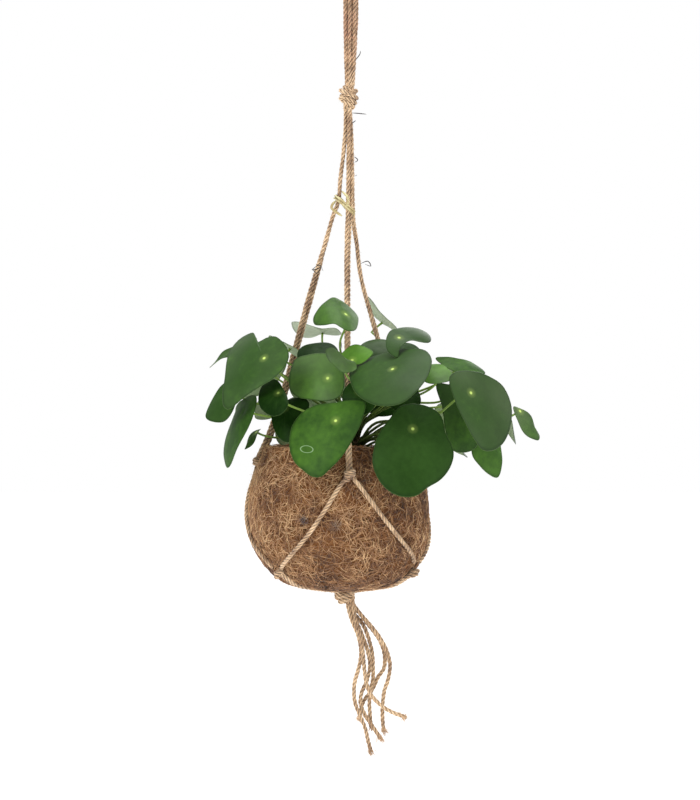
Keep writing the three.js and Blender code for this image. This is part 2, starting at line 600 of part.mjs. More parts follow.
// Two strands along one route, side by side as each place of it is turned
function strandPair(route, steps) {
  return [-1, 1].map((side) => {
    const points = route.map(([x, y, z, angle]) => {
      const turn = THREE.MathUtils.degToRad(angle);
      const reach = (side * cordPitch) / 2;
      return new THREE.Vector3(x + reach * Math.cos(turn), y + reach * Math.sin(turn), z);
    });
    return solidOf(cordAlong(points, steps));
  });
}

// Radius of the pot's outer wall at a height
function potRadiusAt(height) {
  const above = potProfile.findIndex(([, z]) => z >= height);
  if (above < 0) return potProfile.at(-1)[0];
  if (above === 0) return potProfile[0][0];
  const [low, high] = [potProfile[above - 1], potProfile[above]];
  return THREE.MathUtils.mapLinear(height, low[1], high[1], low[0], high[0]);
}

// A place beside the pot: an angle round its axis from the front, a height, and how far off the wall
function besidePot([angle, height], off) {
  const turn = THREE.MathUtils.degToRad(angle);
  const radius = potRadiusAt(height) * unevenness(turn, height) + off;
  return [
    potAxis[0] + swayAt(height) + radius * Math.sin(turn),
    potAxis[1] - radius * Math.cos(turn),
    height,
  ];
}

// Hanging loop: three cords doubled over the hook, and the knot that gathers them

function makeHangingLoop() {
  const bend = hookRadius + cordRadius;
  const side = [
    [cordPitch / 2, topKnot.centre[2] + topKnot.height / 2 - 1], [cordPitch / 2, -80], [2.6, -50],
    [3.6, -34], [6.6, -20], [bend, -hookRadius - 2], [bend * 0.72, bend * 0.7 - hookRadius],
  ];
  const loop = (x) => {
    const points = [
      ...side.map(([y, z]) => new THREE.Vector3(x, -y, z)),
      new THREE.Vector3(x, 0, cordRadius),
      ...side.toReversed().map(([y, z]) => new THREE.Vector3(x, y, z)),
    ];
    return solidOf(cordAlong(points, 22));
  };
  return joined([
    knot(topKnot.centre, topKnot.radius, topKnot.height, topKnot.tilts),
    ...[-1, 0, 1].map((place) => loop(place * cordPitch)),
  ]);
}

addMesh("hanging_loop", makeHangingLoop(), "jute");

// Legs: a pair of strands, the upper knot, and the two single cords spread over the pot

function makeLeg(leg) {
  const centre = besidePot(leg.knot, upperKnot.radius + upperKnot.off);
  const route = [...leg.route, [...centre, leg.route.at(-1)[3]]];
  const spread = leg.spread.map((angles) => {
    const points = angles.map((place) => vector(besidePot(place, cordRadius + cordClear)));
    return solidOf(cordAlong([vector(centre), ...points], 10));
  });
  return joined([
    ...strandPair(route, 13),
    knot(centre, upperKnot.radius, upperKnot.height, [[25, 0, 1]]),
    ...spread,
  ]);
}

Object.entries(legs).forEach(([name, leg]) => addMesh(name, makeLeg(leg), "jute"));

// Lower net: three lower knots, the pairs under the pot, and the bottom knot

function makeLowerNet() {
  const pieces = [knot(bottomKnot.centre, bottomKnot.radius, bottomKnot.height, bottomKnot.tilts)];
  for (const [angle, height, off] of lowerKnots) {
    const centre = besidePot([angle, height], off);
    const inwards = [[1, height], ...underHeights].map(([share, z]) => [
      THREE.MathUtils.lerp(bottomKnot.centre[0], centre[0], share),
      THREE.MathUtils.lerp(bottomKnot.centre[1], centre[1], share),
      z,
      angle,
    ]);
    pieces.push(knot(centre, lowerKnot.radius, lowerKnot.height, [[20, 15, 0]]));
    pieces.push(...strandPair(inwards, 7));
  }
  return joined(pieces);
}

addMesh("lower_net", makeLowerNet(), "jute");

// Free tails below the bottom knot

tails.forEach((route, i) => {
  addMesh(`tail_${i + 1}`, solidOf(cordAlong(route.map(vector), 12)), "jute");
});

// Raffia tie

function makeRaffiaTie() {
  const turn = new THREE.CatmullRomCurve3(raffia.turn.map(vector), true, "centripetal");
  const ends = raffia.ends.map((route) => (
    solidOf(tube(new THREE.CatmullRomCurve3(route.map(vector)), raffia.radius, 5, 4))
  ));
  return joined([solidOf(new THREE.TubeGeometry(turn, 30, raffia.radius, 5, true)), ...ends]);
}

addMesh("raffia_tie", makeRaffiaTie(), "raffia");

export default part;
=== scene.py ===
# A Chinese money plant in a coir pot that hangs in a jute hanger.
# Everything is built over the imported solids, at their own places.
# Tables are in millimetres. Meshes, the camera, the studio, densities and the places at which
# a material changes are in metres. -Y is the front.
import bpy
import numpy as np
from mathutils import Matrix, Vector, noise


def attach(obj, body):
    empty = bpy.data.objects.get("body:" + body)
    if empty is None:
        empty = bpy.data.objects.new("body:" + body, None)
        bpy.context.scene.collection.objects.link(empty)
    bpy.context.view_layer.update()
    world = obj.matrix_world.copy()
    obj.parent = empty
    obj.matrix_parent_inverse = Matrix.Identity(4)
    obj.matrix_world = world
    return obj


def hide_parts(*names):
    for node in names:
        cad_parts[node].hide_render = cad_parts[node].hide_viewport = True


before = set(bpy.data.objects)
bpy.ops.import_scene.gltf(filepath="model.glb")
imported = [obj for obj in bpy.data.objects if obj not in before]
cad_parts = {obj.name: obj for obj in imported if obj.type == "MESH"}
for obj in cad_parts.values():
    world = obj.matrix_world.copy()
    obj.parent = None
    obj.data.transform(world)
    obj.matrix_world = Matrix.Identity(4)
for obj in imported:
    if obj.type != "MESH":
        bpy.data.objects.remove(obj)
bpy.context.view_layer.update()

mm = 0.001
fullTurn = 2 * np.pi


# Node trees: one call places a node, sets its values and links its sockets

def addNode(tree, kind, inputs=None, **props):
    node = tree.nodes.new(kind)
    for name, value in props.items():
        setattr(node, name, value)
    for key, value in (inputs or {}).items():
        if isinstance(value, bpy.types.NodeSocket):
            tree.links.new(value, node.inputs[key])
        else:
            node.inputs[key].default_value = value
    return node


def geoNode(tree, kind, inputs=None, get=0, **props):
    return addNode(tree, "GeometryNode" + kind, inputs, **props).outputs[get]


def calc(tree, operation, *values):
    return addNode(tree, "ShaderNodeMath", dict(enumerate(values)), operation=operation).outputs[0]


def times(tree, first, second):
    return calc(tree, "MULTIPLY", first, second)


def plus(tree, first, second):
    return calc(tree, "ADD", first, second)


def minus(tree, first, second):
    return calc(tree, "SUBTRACT", first, second)


def vectorCalc(tree, operation, *values, get=0):
    inputs = dict(enumerate(values))
    return addNode(tree, "ShaderNodeVectorMath", inputs, operation=operation).outputs[get]


def scaleVector(tree, vector, amount):
    inputs = {0: vector, "Scale": amount}
    return addNode(tree, "ShaderNodeVectorMath", inputs, operation="SCALE").outputs[0]


def joinParts(tree, x=0.0, y=0.0, z=0.0):
    return addNode(tree, "ShaderNodeCombineXYZ", {0: x, 1: y, 2: z}).outputs[0]


def splitParts(tree, vector):
    return addNode(tree, "ShaderNodeSeparateXYZ", {0: vector}).outputs


def blend(tree, first, share, second, rest):
    return calc(tree, "MULTIPLY_ADD", first, share, times(tree, second, rest))


def startTree(name, *sizes, counts=()):
    # Every tree has a named input for each size and count, and one for the material
    tree = bpy.data.node_groups.new(name, "GeometryNodeTree")
    sockets = [("Geometry", "Geometry"), *[(size, "Float") for size in sizes],
               *[(count, "Int") for count in counts], ("Material", "Material")]
    for label, kind in sockets:
        tree.interface.new_socket(name=label, in_out="INPUT", socket_type="NodeSocket" + kind)
    tree.interface.new_socket(name="Geometry", in_out="OUTPUT", socket_type="NodeSocketGeometry")
    entry = tree.nodes.new("NodeGroupInput").outputs
    return tree, entry


def endTree(tree, geometry, entry):
    joined = geoNode(tree, "RealizeInstances", {0: geometry})
    smooth = geoNode(tree, "SetShadeSmooth", {"Geometry": joined})
    dressed = geoNode(tree, "SetMaterial", {"Geometry": smooth, "Material": entry["Material"]})
    addNode(tree, "NodeGroupOutput", {0: dressed})
    return tree


def keepValue(tree, geometry, name, value, kind="FLOAT"):
    inputs = {"Geometry": geometry, "Name": name, "Value": value}
    return geoNode(tree, "StoreNamedAttribute", inputs, data_type=kind)


def readValue(tree, name, kind="FLOAT"):
    return geoNode(tree, "InputNamedAttribute", {"Name": name}, data_type=kind)


def randomValue(tree, low, high, seed):
    inputs = {2: low, 3: high, "Seed": seed}
    return addNode(tree, "FunctionNodeRandomValue", inputs, data_type="FLOAT").outputs[1]


def randomVector(tree, low, high, seed):
    inputs = {0: low, 1: high, "Seed": seed}
    return addNode(tree, "FunctionNodeRandomValue", inputs, data_type="FLOAT_VECTOR").outputs[0]


def turnOf(tree, angles):
    return addNode(tree, "FunctionNodeEulerToRotation", {0: angles}).outputs[0]


def turnLocally(tree, rotation, angles):
    inputs = {"Rotation": rotation, "Rotate By": turnOf(tree, angles)}
    return addNode(tree, "FunctionNodeRotateRotation", inputs, rotation_space="LOCAL").outputs[0]


def scatter(tree, entry):
    # Points at random over the faces
    return addNode(tree, "GeometryNodeDistributePointsOnFaces", {
        "Mesh": entry["Geometry"], "Density": entry["Density"], "Seed": entry["Seed"]}).outputs


def copyToPoints(tree, points, shape, rotation, size):
    copies = geoNode(tree, "InstanceOnPoints", {
        "Points": points, "Instance": shape, "Rotation": rotation, "Scale": size})
    return geoNode(tree, "RealizeInstances", {0: copies})


def curveOf(tree, entry, spacing):
    # The mesh's edges as curves, cut into equal steps
    path = geoNode(tree, "MeshToCurve", {0: entry["Geometry"]})
    return geoNode(tree, "ResampleCurve", {"Curve": path, "Length": spacing}, mode="LENGTH")


def bentCurve(tree, start, middle, end, steps):
    return geoNode(tree, "CurveQuadraticBezier", {
        "Resolution": steps, "Start": start, "Middle": middle, "End": end})


def circleOf(tree, sides, radius):
    return geoNode(tree, "CurvePrimitiveCircle", {"Resolution": sides, "Radius": radius})


def narrowAtEnds(tree, start, least):
    # 1 along the middle of each curve, and less towards both its ends
    along = geoNode(tree, "SplineParameter", get="Factor")
    away = calc(tree, "ABSOLUTE", minus(tree, along, 0.5))
    return spread(tree, away, start, 0.5, 1.0, least)


def sweep(tree, path, profile, scale):
    return geoNode(tree, "CurveToMesh", {
        "Curve": path, "Profile Curve": profile, "Fill Caps": True, "Scale": scale})


# Meshes from plain lists, and pieces from a mesh and a node tree

def makeMesh(name, places, faces, edges=()):
    mesh = bpy.data.meshes.new(name)
    mesh.from_pydata([tuple(p) for p in np.asarray(places, float) * mm], list(edges), list(faces))
    mesh.validate()
    return mesh


def makePiece(name, mesh, material=None):
    piece = bpy.data.objects.new(name, mesh)
    bpy.context.scene.collection.objects.link(piece)
    if material:
        mesh.materials.clear()
        mesh.materials.append(material)
        mesh.polygons.foreach_set("use_smooth", [True] * len(mesh.polygons))
    return piece


def growPiece(name, mesh, tree, values):
    # Runs the tree on the mesh and keeps only the plain mesh that comes out
    source = makePiece(name + "Source", mesh)
    modifier = source.modifiers.new(tree.name, "NODES")
    modifier.node_group = tree
    for socket in tree.interface.items_tree:
        if socket.in_out == "INPUT" and socket.name in values:
            modifier[socket.identifier] = values[socket.name]
    source.update_tag()
    view = bpy.context.evaluated_depsgraph_get()
    grown = bpy.data.meshes.new_from_object(source.evaluated_get(view))
    bpy.data.objects.remove(source)
    return makePiece(name, grown)


def settle(piece, slot, *nodes):
    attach(piece, "root")
    if nodes:
        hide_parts(*nodes)
    return piece


def keepNumbers(mesh, name, *parts):
    numbers = np.concatenate([np.ravel(part) for part in parts])
    mesh.attributes.new(name, "FLOAT", "POINT").data.foreach_set("value", numbers.astype(np.float32))


def keepVectors(mesh, name, vectors):
    mesh.attributes.new(name, "FLOAT_VECTOR", "POINT").data.foreach_set("vector", vectors.ravel())


def unit(vector):
    vector = np.asarray(vector, float)
    return vector / np.linalg.norm(vector)


# Smooth routes

fineStep = 1.5


def smoothRoute(points, spacing=2.0, closed=False):
    # The same centripetal curve that the solids follow, cut into short steps
    p = np.asarray(points, float)
    count = len(p)
    places = []
    for i in range(count if closed else count - 1):
        here, there = p[i], p[(i + 1) % count]
        before = p[i - 1] if closed or i else 2 * p[0] - p[1]
        after = p[(i + 2) % count] if closed or i + 2 < count else 2 * p[-1] - p[-2]
        gaps = [np.linalg.norm(b - a) ** 0.5 for a, b in ((before, here), (here, there), (there, after))]
        slopes = [(here - before) / gaps[0], (there - here) / gaps[1], (after - there) / gaps[2]]
        leave = slopes[0] - (there - before) / (gaps[0] + gaps[1]) + slopes[1]
        reach = slopes[1] - (after - here) / (gaps[1] + gaps[2]) + slopes[2]
        leave, reach = leave * gaps[1], reach * gaps[1]
        steps = max(2, int(np.ceil(np.linalg.norm(there - here) / spacing)))
        for t in np.arange(steps) / steps:
            bend = (2 * here - 2 * there + leave + reach) * t ** 3
            places.append(bend + (3 * there - 3 * here - 2 * leave - reach) * t ** 2 + leave * t + here)
    if not closed:
        places.append(p[-1])
    return np.array(places)


def routeMesh(name, routes):
    places, edges = [], []
    for route in routes:
        start = len(places)
        places.extend(route)
        edges += [(i, i + 1) for i in range(start, len(places) - 1)]
    return makeMesh(name, places, [], edges)


def travelAlong(route):
    steps = np.linalg.norm(np.diff(route, axis=0), axis=1)
    return np.concatenate([[0], np.cumsum(steps)])


def resample(route, travelled, way):
    return np.stack([np.interp(way, travelled, line) for line in route.T], axis=1)


# Shader trees

def ramp(tree, amount, stops):
    node = addNode(tree, "ShaderNodeValToRGB", {0: amount})
    colours = node.color_ramp.elements
    while len(colours) < len(stops):
        colours.new(0.5)
    for element, (place, colour) in zip(colours, stops):
        element.position = place
        element.color = (*colour, 1)
    return node.outputs[0]


def mixColour(tree, amount, first, second, mode="MIX"):
    inputs = {0: amount, 6: first, 7: second}
    return addNode(tree, "ShaderNodeMix", inputs, data_type="RGBA", blend_type=mode).outputs[2]


def tint(tree, amount, under, colour):
    return mixColour(tree, amount, under, (*colour, 1))


def spread(tree, amount, low, high, newLow=0.0, newHigh=1.0):
    inputs = {0: amount, 1: low, 2: high, 3: newLow, 4: newHigh}
    return addNode(tree, "ShaderNodeMapRange", inputs).outputs[0]


def speckle(tree, vector, scale, detail=4.0, roughness=0.6):
    inputs = {"Vector": vector, "Scale": scale, "Detail": detail, "Roughness": roughness}
    return addNode(tree, "ShaderNodeTexNoise", inputs).outputs[0]


def attribute(tree, name):
    return addNode(tree, "ShaderNodeAttribute", attribute_name=name).outputs


def objectPlace(tree):
    return addNode(tree, "ShaderNodeTexCoord").outputs["Object"]


socketNames = {
    "colour": "Base Color", "roughness": "Roughness", "specular": "Specular IOR Level",
    "sheen": "Sheen Weight", "sheenSpread": "Sheen Roughness", "normal": "Normal",
    "glow": "Emission Color", "glowStrength": "Emission Strength",
}


def startMaterial(name, **settings):
    material = bpy.data.materials.new(name)
    material.use_nodes = True
    tree = material.node_tree
    shader = tree.nodes["Principled BSDF"]
    for key, value in settings.items():
        shader.inputs[socketNames[key]].default_value = value
    return material, tree, shader


def feed(tree, shader, **sockets):
    for key, socket in sockets.items():
        tree.links.new(socket, shader.inputs[socketNames[key]])


def bump(tree, height, distance, strength=1.0):
    inputs = {"Height": height, "Distance": distance, "Strength": strength}
    return addNode(tree, "ShaderNodeBump", inputs).outputs[0]


# Plant fibre, on the twine, the coir and the raffia: fine streaks along the fibre and soft blotches
def makeFibreEffect():
    tree = bpy.data.node_groups.new("fibreEffect", "ShaderNodeTree")
    for label, kind in (("Streak Vector", "Vector"), ("Place", "Vector"), ("Streak Scale", "Float"),
                        ("Blotch Scale", "Float")):
        tree.interface.new_socket(name=label, in_out="INPUT", socket_type="NodeSocket" + kind)
    for label in ("Streaks", "Blotches"):
        tree.interface.new_socket(name=label, in_out="OUTPUT", socket_type="NodeSocketFloat")
    entry = tree.nodes.new("NodeGroupInput").outputs
    streaks = speckle(tree, entry["Streak Vector"], entry["Streak Scale"], 3.0, 0.7)
    blotches = speckle(tree, entry["Place"], entry["Blotch Scale"], 2.0)
    addNode(tree, "NodeGroupOutput", {
        "Streaks": spread(tree, streaks, 0.32, 0.68),
        "Blotches": spread(tree, blotches, 0.35, 0.65),
    })
    return tree


fibreEffect = makeFibreEffect()


def placeFibreEffect(tree, vector, streakScale, blotchScale):
    node = addNode(tree, "ShaderNodeGroup", node_tree=fibreEffect)
    tree.links.new(vector, node.inputs["Streak Vector"])
    tree.links.new(objectPlace(tree), node.inputs["Place"])
    node.inputs["Streak Scale"].default_value = streakScale
    node.inputs["Blotch Scale"].default_value = blotchScale
    return node.outputs["Streaks"], node.outputs["Blotches"]


# Camera: level, three metres in front of the plant

camera = {"distance": 3.0, "height": -0.435, "lens": 135.0}


def placeCamera():
    lens = bpy.data.cameras.new("plantCamera")
    lens.lens = camera["lens"]
    lens.sensor_width = 36.0
    eye = bpy.data.objects.new("plantCamera", lens)
    eye.location = (0, -camera["distance"], camera["height"])
    eye.rotation_euler = (np.pi / 2, 0, 0)
    bpy.context.scene.collection.objects.link(eye)
    bpy.context.scene.camera = eye


placeCamera()
print("camera placed")


# The pot's outer wall, which the cords, the coir and its fibres all follow

pot = {
    "axis": -11.0,
    "wall": 7.0,
    "profile": [
        (30, -619.6), (55, -615), (65, -609.4), (74, -601), (80, -592), (85, -582), (87.8, -571),
        (89, -557), (88.8, -543), (86.8, -525), (82.6, -508), (78, -496), (75.6, -488),
    ],
    "rim": [(75, -484), (72, -482), (69, -482.4), (67.4, -485)],
    "sway": 4.5,
    "swayHeight": -560.0,
}


def potUnevenness(turn, height):
    return 1 + 0.006 * np.sin(3 * turn + 1) + 0.004 * np.sin(5 * turn + height / 25)


def potSway(height):
    return pot["sway"] * np.clip((pot["swayHeight"] - height) / 60, 0, 1) ** 1.5


def potPlace(turn, radius, height, off=0.0):
    # turn goes round the pot's axis from the front towards the right
    reach = radius * potUnevenness(turn, height) + off
    x = pot["axis"] + potSway(height) + reach * np.sin(turn)
    return np.stack([x, -reach * np.cos(turn), height + 0 * turn], axis=-1)


def besidePot(angle, height, off):
    radii, heights = np.array(pot["profile"]).T
    return potPlace(np.radians(angle), np.interp(height, heights, radii), height, off)


# Twine: three plies laid round each other along a route, with a fuzz of loose fibres

twine = {
    "plyRadius": 1.12,
    "plyOffset": 1.15,
    "twistPitch": 15.0,
    "ringSpacing": 1.7,
    "sides": 6,
    "radius": 2.2,
    "pairPitch": 4.35,
    "fuzzDensity": 46000.0,
    "fuzzLength": 3.6,
    "fuzzRadius": 0.09,
    "fuzzTilt": 1.1,
    "tailFuzzSeed": 11,
    "strandFuzzSeed": 12,
    "streakStretch": 0.12,
    "fibreScales": (2600.0, 60.0),
    "darkTan": (0.17, 0.085, 0.045),
    "midTan": (0.50, 0.315, 0.170),
    "paleTan": (0.87, 0.625, 0.380),
    "redTan": (0.41, 0.190, 0.110),
    "redHeights": (-0.125, -0.07),
    "stray": (0.022, 0.018, 0.016),
}


def makeTwineMaterial():
    material, tree, shader = startMaterial(
        "juteTwine", roughness=0.86, specular=0.25, sheen=0.25, sheenSpread=0.6)
    ring = splitParts(tree, attribute(tree, "plyRing")["Vector"])
    along = attribute(tree, "alongTwine")["Fac"]
    depth = attribute(tree, "twineDepth")["Fac"]
    vector = joinParts(tree, ring[0], ring[1], times(tree, along, twine["streakStretch"]))
    streaks, blotches = placeFibreEffect(tree, vector, *twine["fibreScales"])
    fibres = ramp(tree, blend(tree, streaks, 0.6, blotches, 0.4), [
        (0.15, twine["darkTan"]), (0.45, twine["midTan"]), (0.85, twine["paleTan"])])
    # Painted shade: the plies darken towards the grooves where they meet, near the twine's core
    grooveShade = spread(tree, depth, 0.6, 0.95, 0.34, 1.0)
    shade = addNode(tree, "ShaderNodeCombineColor", {0: grooveShade, 1: grooveShade, 2: grooveShade}).outputs[0]
    # The strands near the hook are redder, in long patches
    height = splitParts(tree, objectPlace(tree))[2]
    patches = spread(tree, blotches, 0.2, 0.8, 0.15, 0.85)
    red = times(tree, spread(tree, height, *twine["redHeights"]), patches)
    colour = mixColour(tree, 1.0, tint(tree, red, fibres, twine["redTan"]), shade, "MULTIPLY")
    feed(tree, shader, colour=colour, normal=bump(tree, streaks, 0.0004, 0.8))
    return material


def makeTwineTree():
    tree, entry = startTree("layTwine", "Ply Radius", "Ply Offset", "Twist Pitch", "Ring Spacing",
                            counts=["Sides"])
    rings = curveOf(tree, entry, entry["Ring Spacing"])
    rings = geoNode(tree, "SetCurveNormal", {"Curve": rings}, mode="MINIMUM_TWIST")
    position = geoNode(tree, "InputPosition")
    travelled = geoNode(tree, "SplineParameter", get="Length")
    rings = keepValue(tree, rings, "twineCore", position, "FLOAT_VECTOR")
    rings = keepValue(tree, rings, "alongTwine", travelled)
    normal = geoNode(tree, "InputNormal")
    across = vectorCalc(tree, "CROSS_PRODUCT", geoNode(tree, "InputTangent"), normal)
    lay = times(tree, calc(tree, "DIVIDE", travelled, entry["Twist Pitch"]), fullTurn)
    plies = tree.nodes.new("GeometryNodeJoinGeometry")
    for ply in range(3):
        angle = plus(tree, lay, ply * fullTurn / 3)
        side = scaleVector(tree, normal, calc(tree, "COSINE", angle))
        front = scaleVector(tree, across, calc(tree, "SINE", angle))
        offset = scaleVector(tree, vectorCalc(tree, "ADD", side, front), entry["Ply Offset"])
        moved = geoNode(tree, "SetPosition", {"Geometry": rings, "Offset": offset})
        tree.links.new(moved, plies.inputs[0])
    circle = circleOf(tree, entry["Sides"], entry["Ply Radius"])
    circle = keepValue(tree, circle, "plyRing", position, "FLOAT_VECTOR")
    uneven = spread(tree, speckle(tree, position, 90.0, 2.0), 0.3, 0.7, 0.85, 1.1)
    tubes = sweep(tree, plies.outputs[0], circle, uneven)
    core = readValue(tree, "twineCore", "FLOAT_VECTOR")
    out = vectorCalc(tree, "DISTANCE", position, core, get="Value")
    whole = plus(tree, entry["Ply Radius"], entry["Ply Offset"])
    tubes = keepValue(tree, tubes, "twineDepth", calc(tree, "DIVIDE", out, whole))
    return endTree(tree, tubes, entry)


def makeFuzzTree():
    # Short bent hairs that stand off a surface at random
    tree, entry = startTree("standHairs", "Density", "Hair Length", "Hair Radius", "Tilt", counts=["Seed"])
    points = scatter(tree, entry)
    spin = randomVector(tree, (-1.0, -1.0, 0.0), (1.0, 1.0, fullTurn), 3)
    lean = joinParts(tree, entry["Tilt"], entry["Tilt"], 1.0)
    rotation = turnLocally(tree, points["Rotation"], vectorCalc(tree, "MULTIPLY", spin, lean))
    hair = bentCurve(tree, (0, 0, 0), (0.1, 0, 0.55), (0.55, 0, 0.8), steps=2)
    size = times(tree, entry["Hair Length"], randomValue(tree, 0.35, 1.0, 5))
    hairs = copyToPoints(tree, points["Points"], hair, rotation, size)
    taper = spread(tree, geoNode(tree, "SplineParameter", get="Factor"), 0.0, 1.0, 1.0, 0.35)
    tubes = sweep(tree, hairs, circleOf(tree, 3, entry["Hair Radius"]), taper)
    return endTree(tree, keepValue(tree, tubes, "twineDepth", 1.0), entry)


def makeStrandTree():
    # A plain tapering strand along each route
    tree, entry = startTree("drawStrands", "Radius", "Spacing")
    path = curveOf(tree, entry, entry["Spacing"])
    tubes = sweep(tree, path, circleOf(tree, 4, entry["Radius"]), narrowAtEnds(tree, 0.2, 0.45))
    return endTree(tree, keepValue(tree, tubes, "twineDepth", 1.0), entry)


juteMaterial = makeTwineMaterial()
twineTree = makeTwineTree()
fuzzTree = makeFuzzTree()
strandTree = makeStrandTree()


def layTwine(name, routes):
    return growPiece(name, routeMesh(name, routes), twineTree, {
        "Ply Radius": twine["plyRadius"] * mm, "Ply Offset": twine["plyOffset"] * mm,
        "Twist Pitch": twine["twistPitch"] * mm, "Ring Spacing": twine["ringSpacing"] * mm,
        "Sides": twine["sides"], "Material": juteMaterial})


def fuzzFor(name, pieces, seed):
    # Hairs over the surface of finished twine
    places, faces = [], []
    for piece in pieces:
        start = len(places)
        places += [v.co / mm for v in piece.data.vertices]
        faces += [[start + i for i in face.vertices] for face in piece.data.polygons]
    return growPiece(name, makeMesh(name + "Ground", places, faces), fuzzTree, {
        "Density": twine["fuzzDensity"], "Hair Length": twine["fuzzLength"] * mm,
        "Hair Radius": twine["fuzzRadius"] * mm, "Tilt": twine["fuzzTilt"], "Seed": seed,
        "Material": juteMaterial})


def wrapRoute(centre, radius, height, turns, start=0.0, tilt=0.0, tuck=0.35, drawIn=0.0):
    # Twine wound round a bundle, with both ends tucked into it; drawIn narrows its top and foot
    stepsPerTurn = 16
    tuckTurns = 0.12
    t = np.linspace(0, 1, int(turns * stepsPerTurn) + 1)
    angle = np.radians(start) + t * turns * fullTurn
    tucked = np.clip((np.abs(t - 0.5) - 0.5 + tuckTurns / turns) * turns / tuckTurns, 0, 1)
    out = radius * (1 - (1 - tuck) * tucked)
    out = out * (1 - drawIn * (2 * t - 1) ** 2)
    x = centre[0] + out * np.sin(angle)
    y = centre[1] - out * np.cos(angle)
    z = centre[2] + height * (0.5 - t) + tilt * np.sin(angle)
    return np.stack([x, y, z], axis=1)


def throughKnot(x, y, way):
    # A strand inside a knot; way has shares of x, shifts, shares of y, and heights
    return [(x * share + shift, y * deep, height) for share, shift, deep, height in way]


def drawStrands(name, routes, radius, material):
    piece = growPiece(name, routeMesh(name, routes), strandTree, {
        "Radius": radius * mm, "Spacing": fineStep * mm, "Material": material})
    return settle(piece, "jute")


# Tails: six free ends below the bottom knot, with their own routes and frayed tips

tails = {
    "routes": [
        [(-2.4, -5, -638.8), (-1, -5.6, -645), (2, -6.2, -655), (7, -6.2, -667), (10, -6, -677),
         (11, -6, -690), (8, -6, -705), (5, -6, -715), (4, -6, -725), (5, -6, -737), (10, -6, -750),
         (15, -6, -762), (18, -5, -775), (21, -5, -786)],
        [(-2.2, -0.2, -638.8), (1.6, -0.6, -647), (8, -1, -660), (14, -1, -675), (18, -1, -687),
         (20, -1, -700), (17, -1, -715), (11.5, -1, -728), (10.5, -1, -738), (15, 0, -750),
         (21, 0, -759), (27, 0, -768), (30, 0, -773)],
        [(-2, 4.6, -638.8), (2.6, 4.4, -647), (13, 4.4, -660), (19, 4, -675), (22, 4, -687),
         (23, 4, -700), (23, 4, -715), (21, 4.4, -725), (19.4, 5, -737), (20, 5, -750), (21, 6, -763)],
        [(2.6, 0, -638.8), (8.6, 0.4, -647), (20, 0.4, -660), (28, 0, -670), (34, 0, -680),
         (38, 0, -690), (40, 0, -700), (38, 0, -715), (34.5, 0, -725), (33, 0, -735),
         (32.4, 0, -747), (33, 0, -760), (34, 0, -766)],
        [(2.8, 4.8, -638.8), (8.4, 6.4, -647), (18, 9, -660), (26, 9.4, -670), (32, 9.4, -681),
         (35, 9.4, -694), (33.6, 9.4, -705), (28, 9.4, -713), (24.6, 9.6, -721), (20.6, 10, -728),
         (15, 10, -735), (11, 10, -744), (9.4, 10, -755)],
        [(2.2, -5, -638.8), (4.4, -8.4, -647), (7, -11.4, -660), (11, -12, -674), (13, -12, -688),
         (14, -12, -700), (15.4, -11, -712), (17.4, -10, -721), (21, -9, -729), (27, -8, -736),
         (34, -7, -742), (43, -6, -747), (50, -6, -749.6), (56, -6, -752)],
    ],
    "frayCount": 40,
    "frayLength": [7, 8, 6, 8, 6, 5.5],
    "fraySpread": [0.3, 0.35, 0.3, 0.45, 0.35, 1.6],
    "frayRadius": 0.27,
    "frayRoot": 2.5,
    "frayScatter": 1.1,
    "fraySeed": 40,
}


def frayRoutes(end, heading, length, splay, number):
    # Loose fibres that fan out of a cut end
    draw = np.random.default_rng(tails["fraySeed"] + number)
    routes = []
    for _ in range(tails["frayCount"]):
        aim = unit(heading + draw.normal(0, splay, 3))
        curl = unit(aim + draw.normal(0, splay, 3) + (0, 0, -0.2))
        start = end - heading * tails["frayRoot"] + draw.normal(0, tails["frayScatter"], 3)
        reach = length * draw.uniform(0.45, 1.0)
        middle = start + aim * reach * 0.5
        routes.append(smoothRoute([start, middle, middle + curl * reach * 0.5], fineStep))
    return routes


def makeTails():
    frays, pieces = [], []
    ends = zip(tails["routes"], tails["frayLength"], tails["fraySpread"])
    for number, (points, length, splay) in enumerate(ends, 1):
        route = smoothRoute(points)
        piece = settle(layTwine(f"juteTail{number}", [route]), "jute", f"tail_{number}")
        pieces.append((piece, route))
        frays += frayRoutes(route[-1], unit(route[-1] - route[-4]), length, splay, number)
    tips = drawStrands("tailTips", frays, tails["frayRadius"], juteMaterial)
    fuzz = settle(fuzzFor("tailFuzz", [piece for piece, _ in pieces], twine["tailFuzzSeed"]), "jute")
    print("tails laid")


makeTails()


# Hanging loop: three strands doubled over the hook, gathered by the top knot

